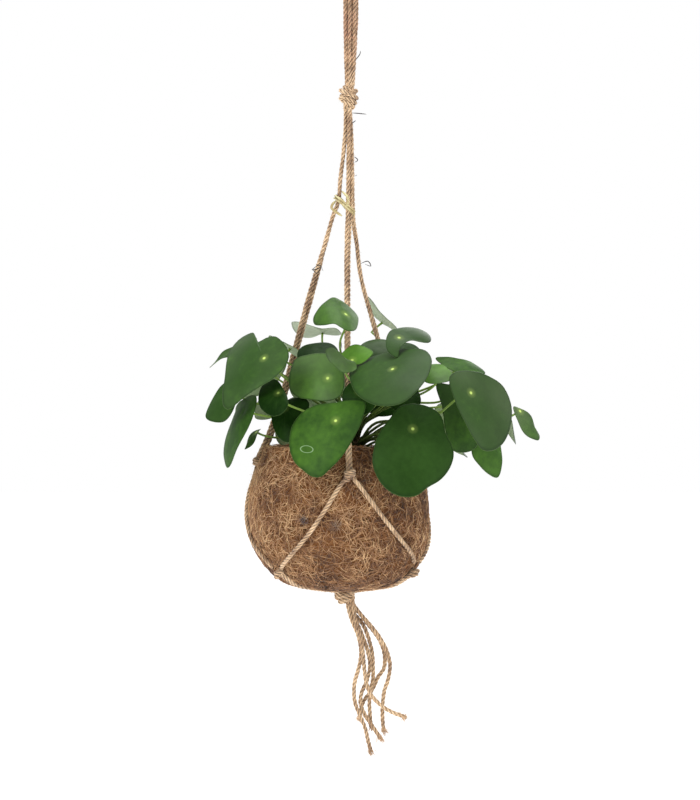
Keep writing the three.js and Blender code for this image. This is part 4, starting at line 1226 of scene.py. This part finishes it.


# Leaves: round blades on long stalks that meet them inside the rim

# at: where the stalk meets the blade. tip and face: the ways that the tip and the upper face point.
# long and wide: the blade. off: its middle from the stalk, along and across. droop: how far ends
# and sides bend down. root: height of the stalk's foot over the soil. lean: its turn round the stem.
# via: a place that the stalk passes. rim: the outline as seen from the front, right of and above
# the stalk. tone: paler (up) or darker (down) than its neighbours; on the leaves that lie in the
# shade of others the low tone is painted shade. paintedSheen: how much grey sheen, a painted
# reflection, lies over its face. Leaves without these two are hidden behind the others. spot: 0
# where the bright spot over the stalk doesn't show.
leaves = [
    dict(at=(-4, -68, -351), tip=(-10, -1, 0), face=(0, -6, 8), long=43, wide=50, off=(12, 0),
         droop=(12, 3), root=32, via=(-10, -46, -380), tone=0.62, paintedSheen=0.12,
         rim=[(-12, 18), (-4, 14), (4, 7), (11, -1), (12, -9), (8, -16), (1, -18), (-5, -15),
              (-11, -11), (-20, -11), (-30, -10), (-32, -4), (-28, 3), (-20, 12)]),
    dict(at=(-28, 58, -366), tip=(-10, 1, 1), face=(-2, 3, 9), long=50, wide=42, off=(7, 0),
         droop=(-1, 1), root=26, tone=0.95, paintedSheen=0.3,
         rim=[(-31.5, 6.5), (-30.5, 9.5), (-24.5, 10.2), (-17, 8.3), (-10.8, 6.3), (-4.6, 3.8),
              (0, 2.6), (6, 2.9), (13.2, 3.7), (17.5, 1.7), (19, -1), (17, -2.5), (11, -3),
              (5, -2.7), (0, -2.4), (-4.4, -3.2), (-10, -5), (-16, -5), (-21, -3.5), (-26, -0.5),
              (-30, 3.5)]),
    dict(at=(33.4, 52, -355.8), tip=(-7, 1, 7), face=(7, 2.5, 7), long=46, wide=42, off=(5, 0),
         droop=(0.5, 0.5), root=27, via=(27.5, 46, -371), tone=0.8, paintedSheen=0.1,
         rim=[(-3, 10.2), (-5.6, 14.4), (-8.6, 18.6), (-12.4, 22.4), (-16.3, 24.4), (-16.8, 19),
              (-12.6, 13.2), (-9.2, 7.9), (-5, 2.5), (-1.5, -1.4), (4, -4.8), (10, -7.6),
              (14.2, -6.6), (9.4, -2.1), (4.4, 1.8), (0.4, 6)]),
    dict(at=(48, -70, -374), tip=(10, 2, -2), face=(1, -6, 8), long=48, wide=36, off=(8, 0),
         droop=(5, 2), root=34, lean=6, via=(44, -50, -401), tone=0.34, paintedSheen=0.1,
         rim=[(-2, 10), (8, 12), (20, 9), (29, 4), (32, -1), (30, -4), (20, -4), (11, -4), (5, -7),
              (0, -12), (-2, -20), (-7, -17), (-12, -11), (-13, -2), (-9, 6)]),
    dict(at=(41, -103, -405), tip=(2, -8, -5), face=(-3, -6, 8), long=88, wide=82, off=(10, -2.5),
         droop=(5, 4), tone=0.42, paintedSheen=0.12,
         rim=[(-25, 11), (-7, 17), (8, 20), (21, 20), (33, 17), (38, 9), (36, 0), (30, -12),
              (22, -23), (12, -32), (0, -36), (-16, -35), (-28, -29), (-37, -21), (-41, -10),
              (-39, 1)]),
    dict(at=(29, -5, -382.5), tip=(1, -6, -7), face=(1, -7, 7), long=42, wide=42, off=(6, 0),
         droop=(4, 3), tone=0.36, paintedSheen=0.15, spot=0),
    dict(at=(57, -33, -384), tip=(3, -5, -5), face=(3, -5, 8), long=36, wide=34, off=(5, 0),
         droop=(3, 2), root=27, lean=-14, tone=0.2, paintedSheen=0.0, spot=0),
    dict(at=(2, -68.5, -396), tip=(6, 3, 4.5), face=(0, -6, 8), long=36, wide=35, off=(11, 0),
         droop=(2, 1), root=24, lean=25, via=(8, -56, -414), tone=0.9, paintedSheen=0.05,
         rim=[(-11, 7), (-5, 12), (3, 15), (12, 14), (18, 11), (21, 6), (15, 0), (5, -4), (-1, -3),
              (-7, 1)]),
    dict(at=(34, 16, -430), tip=(1, -4, -8), face=(1, -8, 5), long=34, wide=42, off=(6, 0),
         droop=(3, 3), root=34, tone=0.14, paintedSheen=0.0),
    dict(at=(-31.5, -14.5, -384), tip=(0, -8, -6), face=(0, -6, 8), long=46, wide=42, off=(6, 0),
         droop=(4, 4), tone=0.06, paintedSheen=0.0, spot=0),
    dict(at=(-22, -60, -413.6), tip=(-9, 2, -4), face=(-4, -9, 4), long=58, wide=50, off=(12, 0),
         droop=(5, 4), root=24, lean=-25, tone=0.7, paintedSheen=0.35,
         rim=[(-32, 20), (-21, 24), (-9, 25), (2, 23), (11, 17), (15, 8), (16, -5), (14, -16),
              (8, -21), (-2, -23), (-18, -21), (-30, -18), (-37, -12), (-38, -2), (-36, 10)]),
    dict(at=(-84, -70, -394), tip=(-7, 0, -7), face=(-5, -7, 5), long=88, wide=66, off=(18, 4),
         droop=(6, 5), lean=-15, via=(-62, -35, -415), tone=0.5, paintedSheen=0.16,
         rim=[(-13, 26.4), (-9, 21), (-6, 16.5), (-1, 20), (9, 22), (19, 15), (24, 8), (25, 0),
              (21, -9), (11, -19), (-3, -27), (-17, -37), (-27, -46), (-34, -51), (-39, -48),
              (-41, -38), (-40, -21), (-39, -3), (-35, 9), (-27, 20), (-18, 25)]),
    dict(at=(-109.5, -8, -379), tip=(-8, 0, -7), face=(-5, -5, 7), long=50, wide=40, off=(10, 0),
         droop=(1, 1), lean=-14, tone=0.5, paintedSheen=0.4,
         rim=[(-11, -4.5), (-18, -8.5), (-26, -17.5), (-31.5, -24), (-24, -19), (-15, -14),
              (-6, -13), (2, -12), (7, -4), (5, 2), (0, 1.5), (-5, -1.5)]),
    dict(at=(-118, -38, -425), tip=(-5, -3, -8), face=(-5, -6, 6), long=58, wide=50, off=(8, 0),
         droop=(4, 3), tone=0.48, paintedSheen=0.08,
         rim=[(-4, 7), (-16, -5), (-22, -14), (-25, -25), (-22, -30), (-14, -32), (-5, -30),
              (4, -20), (8, -6), (4, 5)]),
    dict(at=(-104, -53, -446), tip=(-3, 0, -10), face=(-9, -4, 3), long=80, wide=62, off=(20, 0),
         droop=(5, 4), root=8, tone=0.56, paintedSheen=0.0, spot=0,
         rim=[(6, 16), (11, 15), (12, 8), (8, -7), (1, -25), (-7, -41), (-13, -53), (-17, -56),
              (-21, -52), (-23, -40), (-22, -23), (-18, -10), (-10, 3), (-2, 11)]),
    dict(at=(-94, 5, -467), tip=(-6, 0, -9), face=(-8, -3, 5), long=26, wide=20, off=(8, 0),
         droop=(2, 1), tone=0.55, paintedSheen=0.15),
    dict(at=(-70, -80, -428), tip=(-6, -2, -6), face=(-5, -8, 5), long=37, wide=34, off=(3, 0),
         droop=(3, 2), root=14, via=(-18, -66, -455), tone=0.08, paintedSheen=0.0,
         rim=[(-15, 10), (-7, 13), (0, 11), (5, 4), (9, -4), (10, -14), (5, -21), (-3, -23),
              (-11, -20), (-18, -13), (-19, -1)]),
    dict(at=(-64, -45, -443), tip=(0, -4, -8), face=(-3, -8, 5), long=54, wide=58, off=(10, 10),
         droop=(4, 3), root=5, lean=20, tone=0.06, paintedSheen=0.0,
         rim=[(4, 9), (16, 11), (24, 5), (22, -7), (16, -20), (9, -31), (2, -34), (-6, -29),
              (-12, -18), (-13, -7), (-7, 3)]),
    dict(at=(-14, -94, -455), tip=(-3, -3, -9), face=(-3, -9, 4), long=82, wide=72, off=(19, -5),
         droop=(4, 4), root=9, tone=0.58, paintedSheen=0.02,
         rim=[(-2, 18), (9, 20), (22, 20), (29, 18), (28.4, 8), (24.5, -4), (19, -14), (8.5, -31),
              (1.5, -39.5), (-7, -48), (-14, -54.3), (-22, -54.6), (-31, -48.5), (-40, -40),
              (-45, -27), (-45, -15), (-42, -4), (-34, 6), (-19, 15)]),
    dict(at=(9, -79, -427), tip=(0, -4, -9), face=(-1, -9, 4), long=40, wide=34, off=(5, 0),
         droop=(3, 2), root=14.5, tone=0.14, paintedSheen=0.0),
    dict(at=(61, -85, -463), tip=(-1, -3, -9), face=(1, -9, 3), long=94, wide=84, off=(21, 0),
         droop=(5, 5), tone=0.32, paintedSheen=0.04,
         rim=[(-12, 22), (0, 25), (13, 23), (24, 17), (29, 10), (32, -4), (38, -16), (40, -25),
              (36, -38), (27, -49), (14, -57), (3, -65), (-10, -66), (-22, -61), (-33, -49),
              (-39, -34), (-38, -19), (-33, -5), (-23, 9)]),
    dict(at=(48, -47, -424), tip=(4, -5, -7), face=(2, -7, 7), long=44, wide=40, off=(6, 0),
         droop=(3, 2), root=19, tone=0.14, paintedSheen=0.0),
    dict(at=(87, -56, -410), tip=(-9, -3, -3), face=(0, -6, 8), long=36, wide=30, off=(3, 0),
         droop=(2, 2), root=23.5, tone=0.82, paintedSheen=0.15, spot=0,
         rim=[(-7, 11), (2, 10), (9, 6), (14, 1), (11, -6), (3, -9), (-6, -9), (-14, -6), (-14, 0),
              (-11, 6)]),
    dict(at=(107, -22, -398.5), tip=(9, 3, 0), face=(0, -5, 8), long=48, wide=44, off=(4, 0),
         droop=(4, 2), root=27, tone=0.56, paintedSheen=0.0, spot=0,
         rim=[(-21, 7), (-12, 6), (0, 4), (13, 3), (21, -2), (27, -11), (16, -13), (3, -10),
              (-9, -7), (-17, -2)]),
    dict(at=(118, -75, -428), tip=(4, 0, -9), face=(6, -7, 4), long=88, wide=82, off=(18, 15),
         droop=(5, 5), root=11, lean=-8, via=(78, -64, -454), tone=0.42, paintedSheen=0.3,
         rim=[(-21, 16), (-14, 21), (-2, 22), (10, 20), (21, 15), (31, 8), (38, -2), (42, -13),
              (42, -27), (38, -40), (30, -51), (20, -57), (11, -56), (4, -46), (-4, -32), (-13, -16),
              (-19, -2), (-22, 9)]),
    dict(at=(105, -41, -443), tip=(3, 0, -9), face=(4, -8, 4), long=70, wide=50, off=(10, 0),
         droop=(4, 3), root=9, tone=0.5, paintedSheen=0.15, spot=0,
         rim=[(-19, 24), (-9, 24), (10, 16), (20, -8), (22, -33), (17, -41), (7, -44), (-4, -41),
              (-9, -29), (-13, -15), (-15, 2)]),
    dict(at=(133, -16, -470), tip=(3, 0, -9), face=(5, -6, 6), long=66, wide=44, off=(12, 0),
         droop=(4, 3), root=13, via=(70, -10, -452), tone=0.64, paintedSheen=0.1,
         rim=[(-6, 7), (6, 7), (16, 3), (19, -19), (18, -31), (15, -42), (6, -39), (-5, -31),
              (-13, -19)]),
    dict(at=(170, -5, -446), tip=(6, 2, -8), face=(6, -6, 4), long=54, wide=42, off=(12, 0),
         droop=(4, 2), root=9, lean=18, via=(98, 4, -462), tone=0.56, paintedSheen=0.5,
         rim=[(-6, 5), (2, 2), (11, -6), (16, -16), (20, -25), (17, -30), (10, -27), (3, -20),
              (-3, -11), (-6, -4)]),
    dict(at=(160, 24, -452), tip=(3, 0, -9), face=(9, 1, 3), long=44, wide=40, off=(7, 0),
         droop=(3, 3), root=15, lean=4, via=(85, 15, -447), tone=0.4, paintedSheen=0.8),
    dict(at=(96, -8, -474), tip=(8, 0, -6), face=(6, 1, 8), long=40, wide=34, off=(8, 0),
         droop=(3, 2), root=4, via=(60, -5, -471), tone=0.3, paintedSheen=0.2),
    dict(at=(-59, 0, -383), tip=(-8, 2, 5), face=(3, 3, 9), long=43, wide=27, off=(4, 0),
         droop=(3, 2), via=(-47.5, -3, -406), tone=0.5, paintedSheen=0.3, spot=0),
    dict(at=(-90, 50, -397), tip=(-5, 5, -7), face=(-5, 7, 6), long=70, wide=64, off=(12, 0),
         droop=(5, 4)),
    dict(at=(-30, 80, -404), tip=(-1, 6, -7), face=(-1, 8, 6), long=70, wide=64, off=(12, 0),
         droop=(5, 4)),
    dict(at=(36, 78, -406), tip=(1, 7, -7), face=(1, 7, 7), long=76, wide=70, off=(12, 0),
         droop=(5, 4)),
    dict(at=(122, 56, -431), tip=(4, 4, -8), face=(6, 6, 6), long=70, wide=62, off=(12, 0),
         droop=(5, 4), root=26, lean=8),
    dict(at=(62, 100, -474), tip=(1, 3, -9), face=(2, 9, 4), long=80, wide=74, off=(14, 0),
         droop=(5, 4)),
    dict(at=(-29, 98, -464), tip=(-1, 4, -9), face=(-2, 9, 4), long=76, wide=64, off=(12, 0),
         droop=(5, 4)),
    dict(at=(-80, 44, -434), tip=(-3, 6, -7), face=(-6, 7, 5), long=44, wide=38, off=(6, 0),
         droop=(3, 2)),
    dict(at=(-2, 50, -398), tip=(1, 9, -5), face=(0, 5, 9), long=54, wide=50, off=(8, 0),
         droop=(4, 3)),
    dict(at=(108, 70, -452), tip=(3, 5, -8), face=(5, 7, 6), long=62, wide=56, off=(10, 0),
         droop=(4, 3), root=7),
    dict(at=(-56, 70, -447), tip=(-2, 3, -9), face=(-5, 8, 4), long=58, wide=46, off=(10, 0),
         droop=(4, 3)),
    dict(at=(113, 14, -404), tip=(6, 6, -3), face=(3, 3, 9), long=46, wide=42, off=(6, 0),
         droop=(4, 2), root=31, via=(92, 10, -436), tone=0.5, paintedSheen=0.1, spot=0),
    dict(at=(1, -83, -402), tip=(-8, -1, 5), face=(1, -8, 6), long=34, wide=30, off=(10, 0),
         droop=(3, 2), root=20, via=(7, -66, -424), tone=0.62, paintedSheen=0.45, spot=0,
         rim=[(-24, 17), (-19, 18), (-14, 15), (-5, 8), (4, 4), (5, -3), (-1, -6), (-8, -6),
              (-16, -1), (-22, 5)]),
]
leafForm = {
    "tone": 0.3,
    "paintedSheen": 0.1,
    "spokes": 64,
    "rings": [0.05, 0.11, 0.18, 0.26, 0.35, 0.45, 0.55, 0.65, 0.75, 0.84, 0.91, 0.96, 0.985],
    "thick": 1.0,
    "thin": 0.5,
    "dimple": 0.7,
    "rimWave": {"height": 1.2, "count": 3, "start": 0.7},
    "undulation": 0.6,
    "stalkSides": 10,
    "stalkSteps": 26,
    "stalkFoot": 1.5,
    "stalkTop": 1.05,
    "stalkSink": 0.9,
}
leafColours = {
    "deep": (0.004, 0.018, 0.0015),
    "middle": (0.022, 0.062, 0.009),
    "fresh": (0.088, 0.215, 0.022),
    # The colour of the painted grey sheen, a painted reflection
    "paintedSheen": (0.125, 0.155, 0.092),
    "spot": (0.50, 0.66, 0.16),
    "vein": (0.075, 0.14, 0.035),
    # The colour of the painted shade along the rims
    "rim": (0.006, 0.018, 0.004),
    "edge": (0.10, 0.17, 0.05),
    "under": (0.20, 0.28, 0.14),
    "underPale": (0.52, 0.60, 0.44),
    "stalk": (0.19, 0.30, 0.06),
    # The colour at the foot is darkened by painted shade
    "stalkFoot": (0.045, 0.060, 0.018),
    "waterMark": (0.42, 0.60, 0.36),
}
# A dried drop's ring: its middle right of and above the stalk, and its half sizes along and across
waterMark = {"leaf": 19, "middle": (-28.0, -27.5), "size": (3.5, 6.9), "line": 0.12, "strength": 0.5}
# How far apart the leaves' patterns lie in the noise, so that no two blades look alike
leafGap = 0.04


def maskWaterMark(tree, flat):
    u, v = placeSeenAt(leaves[waterMark["leaf"] - 1], *waterMark["middle"])
    middle = np.array([u * mm, v * mm, waterMark["leaf"] * leafGap])
    long, wide = np.array(waterMark["size"]) * mm
    away = vectorCalc(tree, "SUBTRACT", flat, middle)
    away = vectorCalc(tree, "DIVIDE", away, (long, wide, leafGap / 10))
    reach = vectorCalc(tree, "LENGTH", away, get="Value")
    beside = calc(tree, "ABSOLUTE", minus(tree, reach, 1.0))
    return spread(tree, beside, 0.0, waterMark["line"], waterMark["strength"], 0.0)


def veinMask(tree, angle, reach, count, width, shift):
    turns = calc(tree, "MULTIPLY_ADD", angle, float(count), shift)
    away = calc(tree, "ABSOLUTE", minus(tree, calc(tree, "FRACT", turns), 0.5))
    apart = times(tree, times(tree, away, reach), fullTurn / count)
    return spread(tree, apart, 0.0, width, 1.0, 0.0)


def makeLeafMaterial():
    material, tree, shader = startMaterial("moneyPlantLeaf")
    reach, side, rimWay, tone, paintedSheen, stalk, shown = [attribute(tree, name)["Fac"] for name in (
        "spotDistance", "upperSide", "rimWay", "leafToneAndShade", "leafPaintedSheen", "stalkWay", "leafSpot")]
    flat = attribute(tree, "bladePlace")["Vector"]
    u, v, _ = splitParts(tree, attribute(tree, "bladeHeading")["Vector"])
    angle = calc(tree, "DIVIDE", calc(tree, "ARCTAN2", v, u), fullTurn)
    # Nine faint veins run from the bright spot to the rim, each with a finer one between
    finer = times(tree, veinMask(tree, angle, reach, 18, 0.5, 0.0), 0.4)
    veins = calc(tree, "MAXIMUM", veinMask(tree, angle, reach, 9, 0.8, 0.5), finer)
    veins = times(tree, veins, spread(tree, reach, 8.0, 36.0, 1.0, 0.1))
    blotches = speckle(tree, flat, 24.0, 3.0)
    mottle = speckle(tree, flat, 170.0, 4.0)
    cells = speckle(tree, flat, 520.0, 3.0)
    # The tone is partly the leaf's own colour and partly painted shade, low where others shade it
    toneAndShade = plus(tree, tone, spread(tree, blotches, 0.3, 0.7, -0.12, 0.12))
    toneAndShade = plus(tree, toneAndShade, spread(tree, mottle, 0.3, 0.7, -0.06, 0.06))
    upper = ramp(tree, toneAndShade, [
        (0.0, leafColours["deep"]), (0.5, leafColours["middle"]), (1.0, leafColours["fresh"])])
    # Painted reflection: a grey sheen in broad patches, as much as each leaf is given
    sheen = spread(tree, speckle(tree, flat, 14.0, 1.0), 0.35, 0.65, 0.25, 0.9)
    upper = tint(tree, times(tree, paintedSheen, sheen), upper, leafColours["paintedSheen"])
    lower = ramp(tree, toneAndShade, [(0.3, leafColours["under"]), (1.0, leafColours["underPale"])])
    # Painted shade: both faces darken along the rim
    paintedRimShade = spread(tree, rimWay, 0.93, 1.0, 0.0, 0.6)
    faces = []
    for face, veinStrength in ((lower, 0.3), (upper, 0.06)):
        face = tint(tree, times(tree, veins, veinStrength), face, leafColours["vein"])
        faces.append(tint(tree, paintedRimShade, face, leafColours["rim"]))
    blade = mixColour(tree, spread(tree, side, 0.45, 0.55), *faces)
    edge = spread(tree, calc(tree, "ABSOLUTE", minus(tree, side, 0.5)), 0.0, 0.4, 0.6, 0.0)
    blade = tint(tree, edge, blade, leafColours["edge"])
    # The spot is dimmer on the leaves that are darker; where the low tone is painted shade, so is this
    onTop = spread(tree, side, 0.5, 0.9)
    above = times(tree, shown, spread(tree, tone, 0.05, 0.45, 0.3, 1.0))
    above = times(tree, onTop, above)
    spot = times(tree, spread(tree, reach, 0.9, 2.1, 1.0, 0.0), above)
    glow = times(tree, spread(tree, reach, 1.8, 6.0, 0.16, 0.0), above)
    blade = tint(tree, calc(tree, "MAXIMUM", spot, glow), blade, leafColours["spot"])
    ring = times(tree, maskWaterMark(tree, flat), onTop)
    blade = tint(tree, ring, blade, leafColours["waterMark"])
    # Painted shade: the stalks darken towards their feet, down under the leaves
    green = ramp(tree, stalk, [(0.0, leafColours["stalk"]), (1.0, leafColours["stalkFoot"])])
    rough = calc(tree, "MULTIPLY_ADD", blotches, 0.1, side)
    feed(tree, shader, colour=mixColour(tree, spread(tree, stalk, -0.6, -0.4), blade, green),
         specular=spread(tree, paintedSheen, 0.0, 1.0, 0.04, 0.3),
         roughness=spread(tree, rough, 0.0, 1.1, 0.62, 0.42),
         normal=bump(tree, blend(tree, cells, 0.12, veins, -0.4), 0.0003, 0.2))
    return material


def bladeAxes(leaf):
    along, up = unit(leaf["tip"]), np.array(leaf["face"], float)
    up = unit(up - along * (up @ along))
    return along, up, np.cross(up, along)


def droopAt(leaf, u, v):
    p, q = 2 * (u - leaf["off"][0]) / leaf["long"], 2 * (v - leaf["off"][1]) / leaf["wide"]
    return leaf["droop"][0] * p * p + leaf["droop"][1] * q * q


def placeSeenAt(leaf, right, high):
    # Where on the blade the front view shows a place; each round allows for the droop there
    along, up, across = bladeAxes(leaf)
    share = along[0] * across[2] - along[2] * across[0]
    u, v = 0.0, 0.0
    for _ in range(6):
        rise = droopAt(leaf, 0, 0) - droopAt(leaf, u, v)
        x, z = right - rise * up[0], high - rise * up[2]
        u, v = (x * across[2] - z * across[0]) / share, (z * along[0] - x * along[2]) / share
    return u, v


def rimOf(leaf, seed):
    # The rim's places, along and across, one for each spoke
    turn = np.arange(leafForm["spokes"]) * fullTurn / leafForm["spokes"]
    if "rim" not in leaf:
        share = 1 + 0.008 * np.sin(2 * turn + seed) + 0.006 * np.sin(5 * turn + 2.3 * seed)
        return np.stack([leaf["off"][0] + share * leaf["long"] * np.cos(turn) / 2,
                         leaf["off"][1] + share * leaf["wide"] * np.sin(turn) / 2], axis=1)
    places = np.array([[*placeSeenAt(leaf, *place), 0] for place in leaf["rim"]])
    x, y = places[:, 0], places[:, 1]
    if np.sum(x * np.roll(y, -1) - y * np.roll(x, -1)) < 0:
        places = places[::-1]
    curve = smoothRoute(places, 0.5, closed=True)
    curve = np.concatenate([curve, curve[:1]])
    travelled = travelAlong(curve)
    return resample(curve[:, :2], travelled, travelled[-1] * turn / fullTurn)


def bladeGrid(leaf, rim, reach, seed):
    # Places over the blade's middle surface, and how far each is from the stalk
    along, up, across = bladeAxes(leaf)
    turn = np.arange(len(rim)) * fullTurn / len(rim)
    u, v = reach * rim[:, 0], reach * rim[:, 1]
    wave = leafForm["rimWave"]
    rise = wave["height"] * reach ** 3 * np.sin(wave["count"] * turn + wave["start"])
    rise += droopAt(leaf, 0, 0) - droopAt(leaf, u, v)
    distance = np.hypot(u, v)
    ripple = np.sin(u / 9 + seed) * np.cos(v / 11 + 2 * seed) * np.minimum(1, distance / 15)
    rise += leafForm["undulation"] * ripple
    rise -= leafForm["dimple"] * np.exp(-(distance / 5) ** 2)
    places = np.array(leaf["at"]) + u[..., None] * along + v[..., None] * across + rise[..., None] * up
    return places, distance, np.stack([u, v, 0 * u], axis=-1)


def stalkRoute(leaf):
    spot = np.array(leaf["at"], float)
    axis = np.array([*stem["axis"], 0])
    outward = unit((spot - axis) * (1, 1, 0))
    lean = np.radians(leaf.get("lean", 0))
    distance = np.hypot(*(spot - axis)[:2])
    turned = np.array([outward[0] * np.cos(lean) - outward[1] * np.sin(lean),
                       outward[0] * np.sin(lean) + outward[1] * np.cos(lean), 0])
    climb = np.arctan2(spot[2] - soil["level"], distance)
    root = leaf.get("root", 4 + 34 * climb / (np.pi / 2))
    foot = axis + turned * (stem["radius"] + 0.4)
    foot[2] = soil["level"] + root
    span = np.linalg.norm(spot - foot)
    steep = min(1.4, climb + 0.35)
    leaving = turned * np.cos(steep) + (0, 0, np.sin(steep))
    up = bladeAxes(leaf)[1]
    if "via" in leaf:
        below, above = spot - up * 0.14 * span, foot + leaving * 0.2 * span
        return smoothRoute([spot, below, leaf["via"], above, foot], fineStep)
    t = np.linspace(0, 1, 60)[:, None]
    below, above = spot - up * 0.3 * span, foot + leaving * 0.35 * span
    return (1 - t) ** 3 * spot + 3 * (1 - t) ** 2 * t * below + 3 * (1 - t) * t * t * above + t ** 3 * foot


def stalkTube(route):
    # A tapering tube from inside the blade to the foot, a little wider at both ends
    steps, sides = leafForm["stalkSteps"], leafForm["stalkSides"]
    travelled = travelAlong(route)
    way = np.linspace(leafForm["stalkSink"], travelled[-1], steps)
    line = resample(route, travelled, way)
    tangent = np.gradient(line, axis=0)
    tangent /= np.linalg.norm(tangent, axis=1, keepdims=True)
    side = unit(np.cross(tangent[0], (0.3, 0.9, 0.2)))
    share = way / way[-1]
    radius = leafForm["stalkTop"] + (leafForm["stalkFoot"] - leafForm["stalkTop"]) * share ** 2
    radius += 0.4 * np.exp(-way / 1.5) + 0.5 * np.exp(-(way[-1] - way) / 3)
    angles = np.arange(sides) * fullTurn / sides
    rings = []
    for k in range(steps):
        side = unit(side - tangent[k] * (side @ tangent[k]))
        other = np.cross(tangent[k], side)
        ring = np.cos(angles)[:, None] * side + np.sin(angles)[:, None] * other
        rings.append(line[k] + ring * radius[k])
    return np.concatenate(rings), np.repeat(share, sides)


def makeLeaf(number, leaf, material):
    name = f"moneyLeaf{number:02d}"
    seed = 1.7 * number
    spokes = leafForm["spokes"]
    outline = rimOf(leaf, seed)
    reach = np.repeat(np.array(leafForm["rings"])[:, None], spokes, axis=1)
    grid, distance, flat = bladeGrid(leaf, outline, reach, seed)
    rim, rimDistance, rimFlat = bladeGrid(leaf, outline, np.ones(spokes), seed)
    middle = bladeGrid(leaf, outline, np.zeros(spokes), seed)[0][:1]
    up = bladeAxes(leaf)[1]
    half = (leafForm["thin"] + (leafForm["thick"] - leafForm["thin"]) * (1 - reach)) / 2
    upperFace = grid + half[..., None] * up
    lowerFace = grid - half[..., None] * up
    stalk, way = stalkTube(stalkRoute(leaf))
    places = [upperFace.reshape(-1, 3), rim, lowerFace[::-1].reshape(-1, 3),
              middle + up * leafForm["thick"] / 2, middle - up * leafForm["thick"] / 2, stalk]
    rings = 2 * len(leafForm["rings"]) + 1
    faces = [(a, d, c, b) for a, b, c, d in ringFaces(rings, spokes)]
    top = rings * spokes
    bottom, last = top + 1, top - spokes
    for i in range(spokes):
        j = (i + 1) % spokes
        faces.append((top, i, j))
        faces.append((bottom, last + j, last + i))
    first = bottom + 1
    faces += cappedFaces(leafForm["stalkSteps"], leafForm["stalkSides"], first)
    mesh = makeMesh(name, np.concatenate(places), faces)

    # What the material reads; the stalk has numbers of its own at the end
    ones, zeros, farOff = np.ones(len(mesh.vertices)), np.zeros(len(stalk)), np.full(len(stalk), 60.0)
    above, rimSide, below = np.ones(reach.size), np.full(spokes, 0.5), np.zeros(reach.size)
    keepNumbers(mesh, "spotDistance", distance, rimDistance, distance[::-1], [0, 0], farOff)
    keepNumbers(mesh, "upperSide", above, rimSide, below, [1, 0], zeros)
    keepNumbers(mesh, "rimWay", reach, np.ones(spokes), reach[::-1], [0, 0], zeros)
    keepNumbers(mesh, "leafToneAndShade", ones * leaf.get("tone", leafForm["tone"]))
    keepNumbers(mesh, "leafPaintedSheen", ones * leaf.get("paintedSheen", leafForm["paintedSheen"]))
    keepNumbers(mesh, "leafSpot", ones * leaf.get("spot", 1))
    keepNumbers(mesh, "stalkWay", np.full(first, -1.0), way)
    flats = [flat.reshape(-1, 3), rimFlat, flat[::-1].reshape(-1, 3), np.zeros((2, 3)), stalk]
    flats = np.concatenate(flats)
    keepVectors(mesh, "bladeHeading", flats / (np.linalg.norm(flats, axis=1, keepdims=True) + 1e-9))
    flats[:, 2] = number * leafGap / mm
    keepVectors(mesh, "bladePlace", flats * mm)
    settle(makePiece(name, mesh, material), "leaf", f"leaf_{number:02d}")


leafMaterial = makeLeafMaterial()
for number, leaf in enumerate(leaves, 1):
    makeLeaf(number, leaf, leafMaterial)
print("leaves done")


# Studio: pale floor well below the tails, soft lights, white surroundings

studio = {
    "floorHeight": -1.15,
    "floorSize": 40.0,
    "surround": 0.6,
    "lights": [
        {"name": "keyLight", "place": (-1.5, -2.0, 0.9), "size": 1.4, "power": 42.0},
        {"name": "fillLight", "place": (1.9, -1.8, -0.1), "size": 1.6, "power": 16.0},
        {"name": "topLight", "place": (0.2, 0.3, 1.3), "size": 1.5, "power": 36.0},
        {"name": "backLight", "place": (0.8, 2.2, 0.4), "size": 1.4, "power": 18.0},
    ],
    "aim": (0, 0, -0.47),
}


def lightStudio():
    world = bpy.data.worlds.new("studioWorld")
    bpy.context.scene.world = world
    world.use_nodes = True
    tree = world.node_tree
    tree.nodes.clear()
    seen = tree.nodes.new("ShaderNodeLightPath").outputs["Is Camera Ray"]
    strength = spread(tree, seen, 0.0, 1.0, studio["surround"], 1.0)
    white = addNode(tree, "ShaderNodeBackground", {"Color": (1, 1, 1, 1), "Strength": strength})
    addNode(tree, "ShaderNodeOutputWorld", {0: white.outputs[0]})
    for light in studio["lights"]:
        lamp = bpy.data.lights.new(light["name"], "AREA")
        lamp.shape = "DISK"
        lamp.size = light["size"]
        lamp.energy = light["power"]
        holder = bpy.data.objects.new(light["name"], lamp)
        holder.location = light["place"]
        aim = Vector(studio["aim"]) - holder.location
        holder.rotation_euler = aim.to_track_quat("-Z", "Y").to_euler()
        bpy.context.scene.collection.objects.link(holder)
    bpy.context.scene.view_settings.view_transform = "Standard"


def layFloor():
    material, tree, shader = startMaterial("paleFloor", roughness=0.9, specular=0.0, glow=(1, 1, 1, 1),
                                           glowStrength=0.6)
    mottle = speckle(tree, objectPlace(tree), 3.0)
    feed(tree, shader, colour=ramp(tree, mottle, [(0.3, (0.93, 0.93, 0.93)), (0.7, (0.96, 0.96, 0.96))]))
    half, height = studio["floorSize"] / 2, studio["floorHeight"]
    corners = [(-half, -half, height), (half, -half, height), (half, half, height), (-half, half, height)]
    floor = makeMesh("paleFloor", np.array(corners) / mm, [(0, 1, 2, 3)])
    makePiece("paleFloor", floor, material)


lightStudio()
layFloor()
print("studio lit")
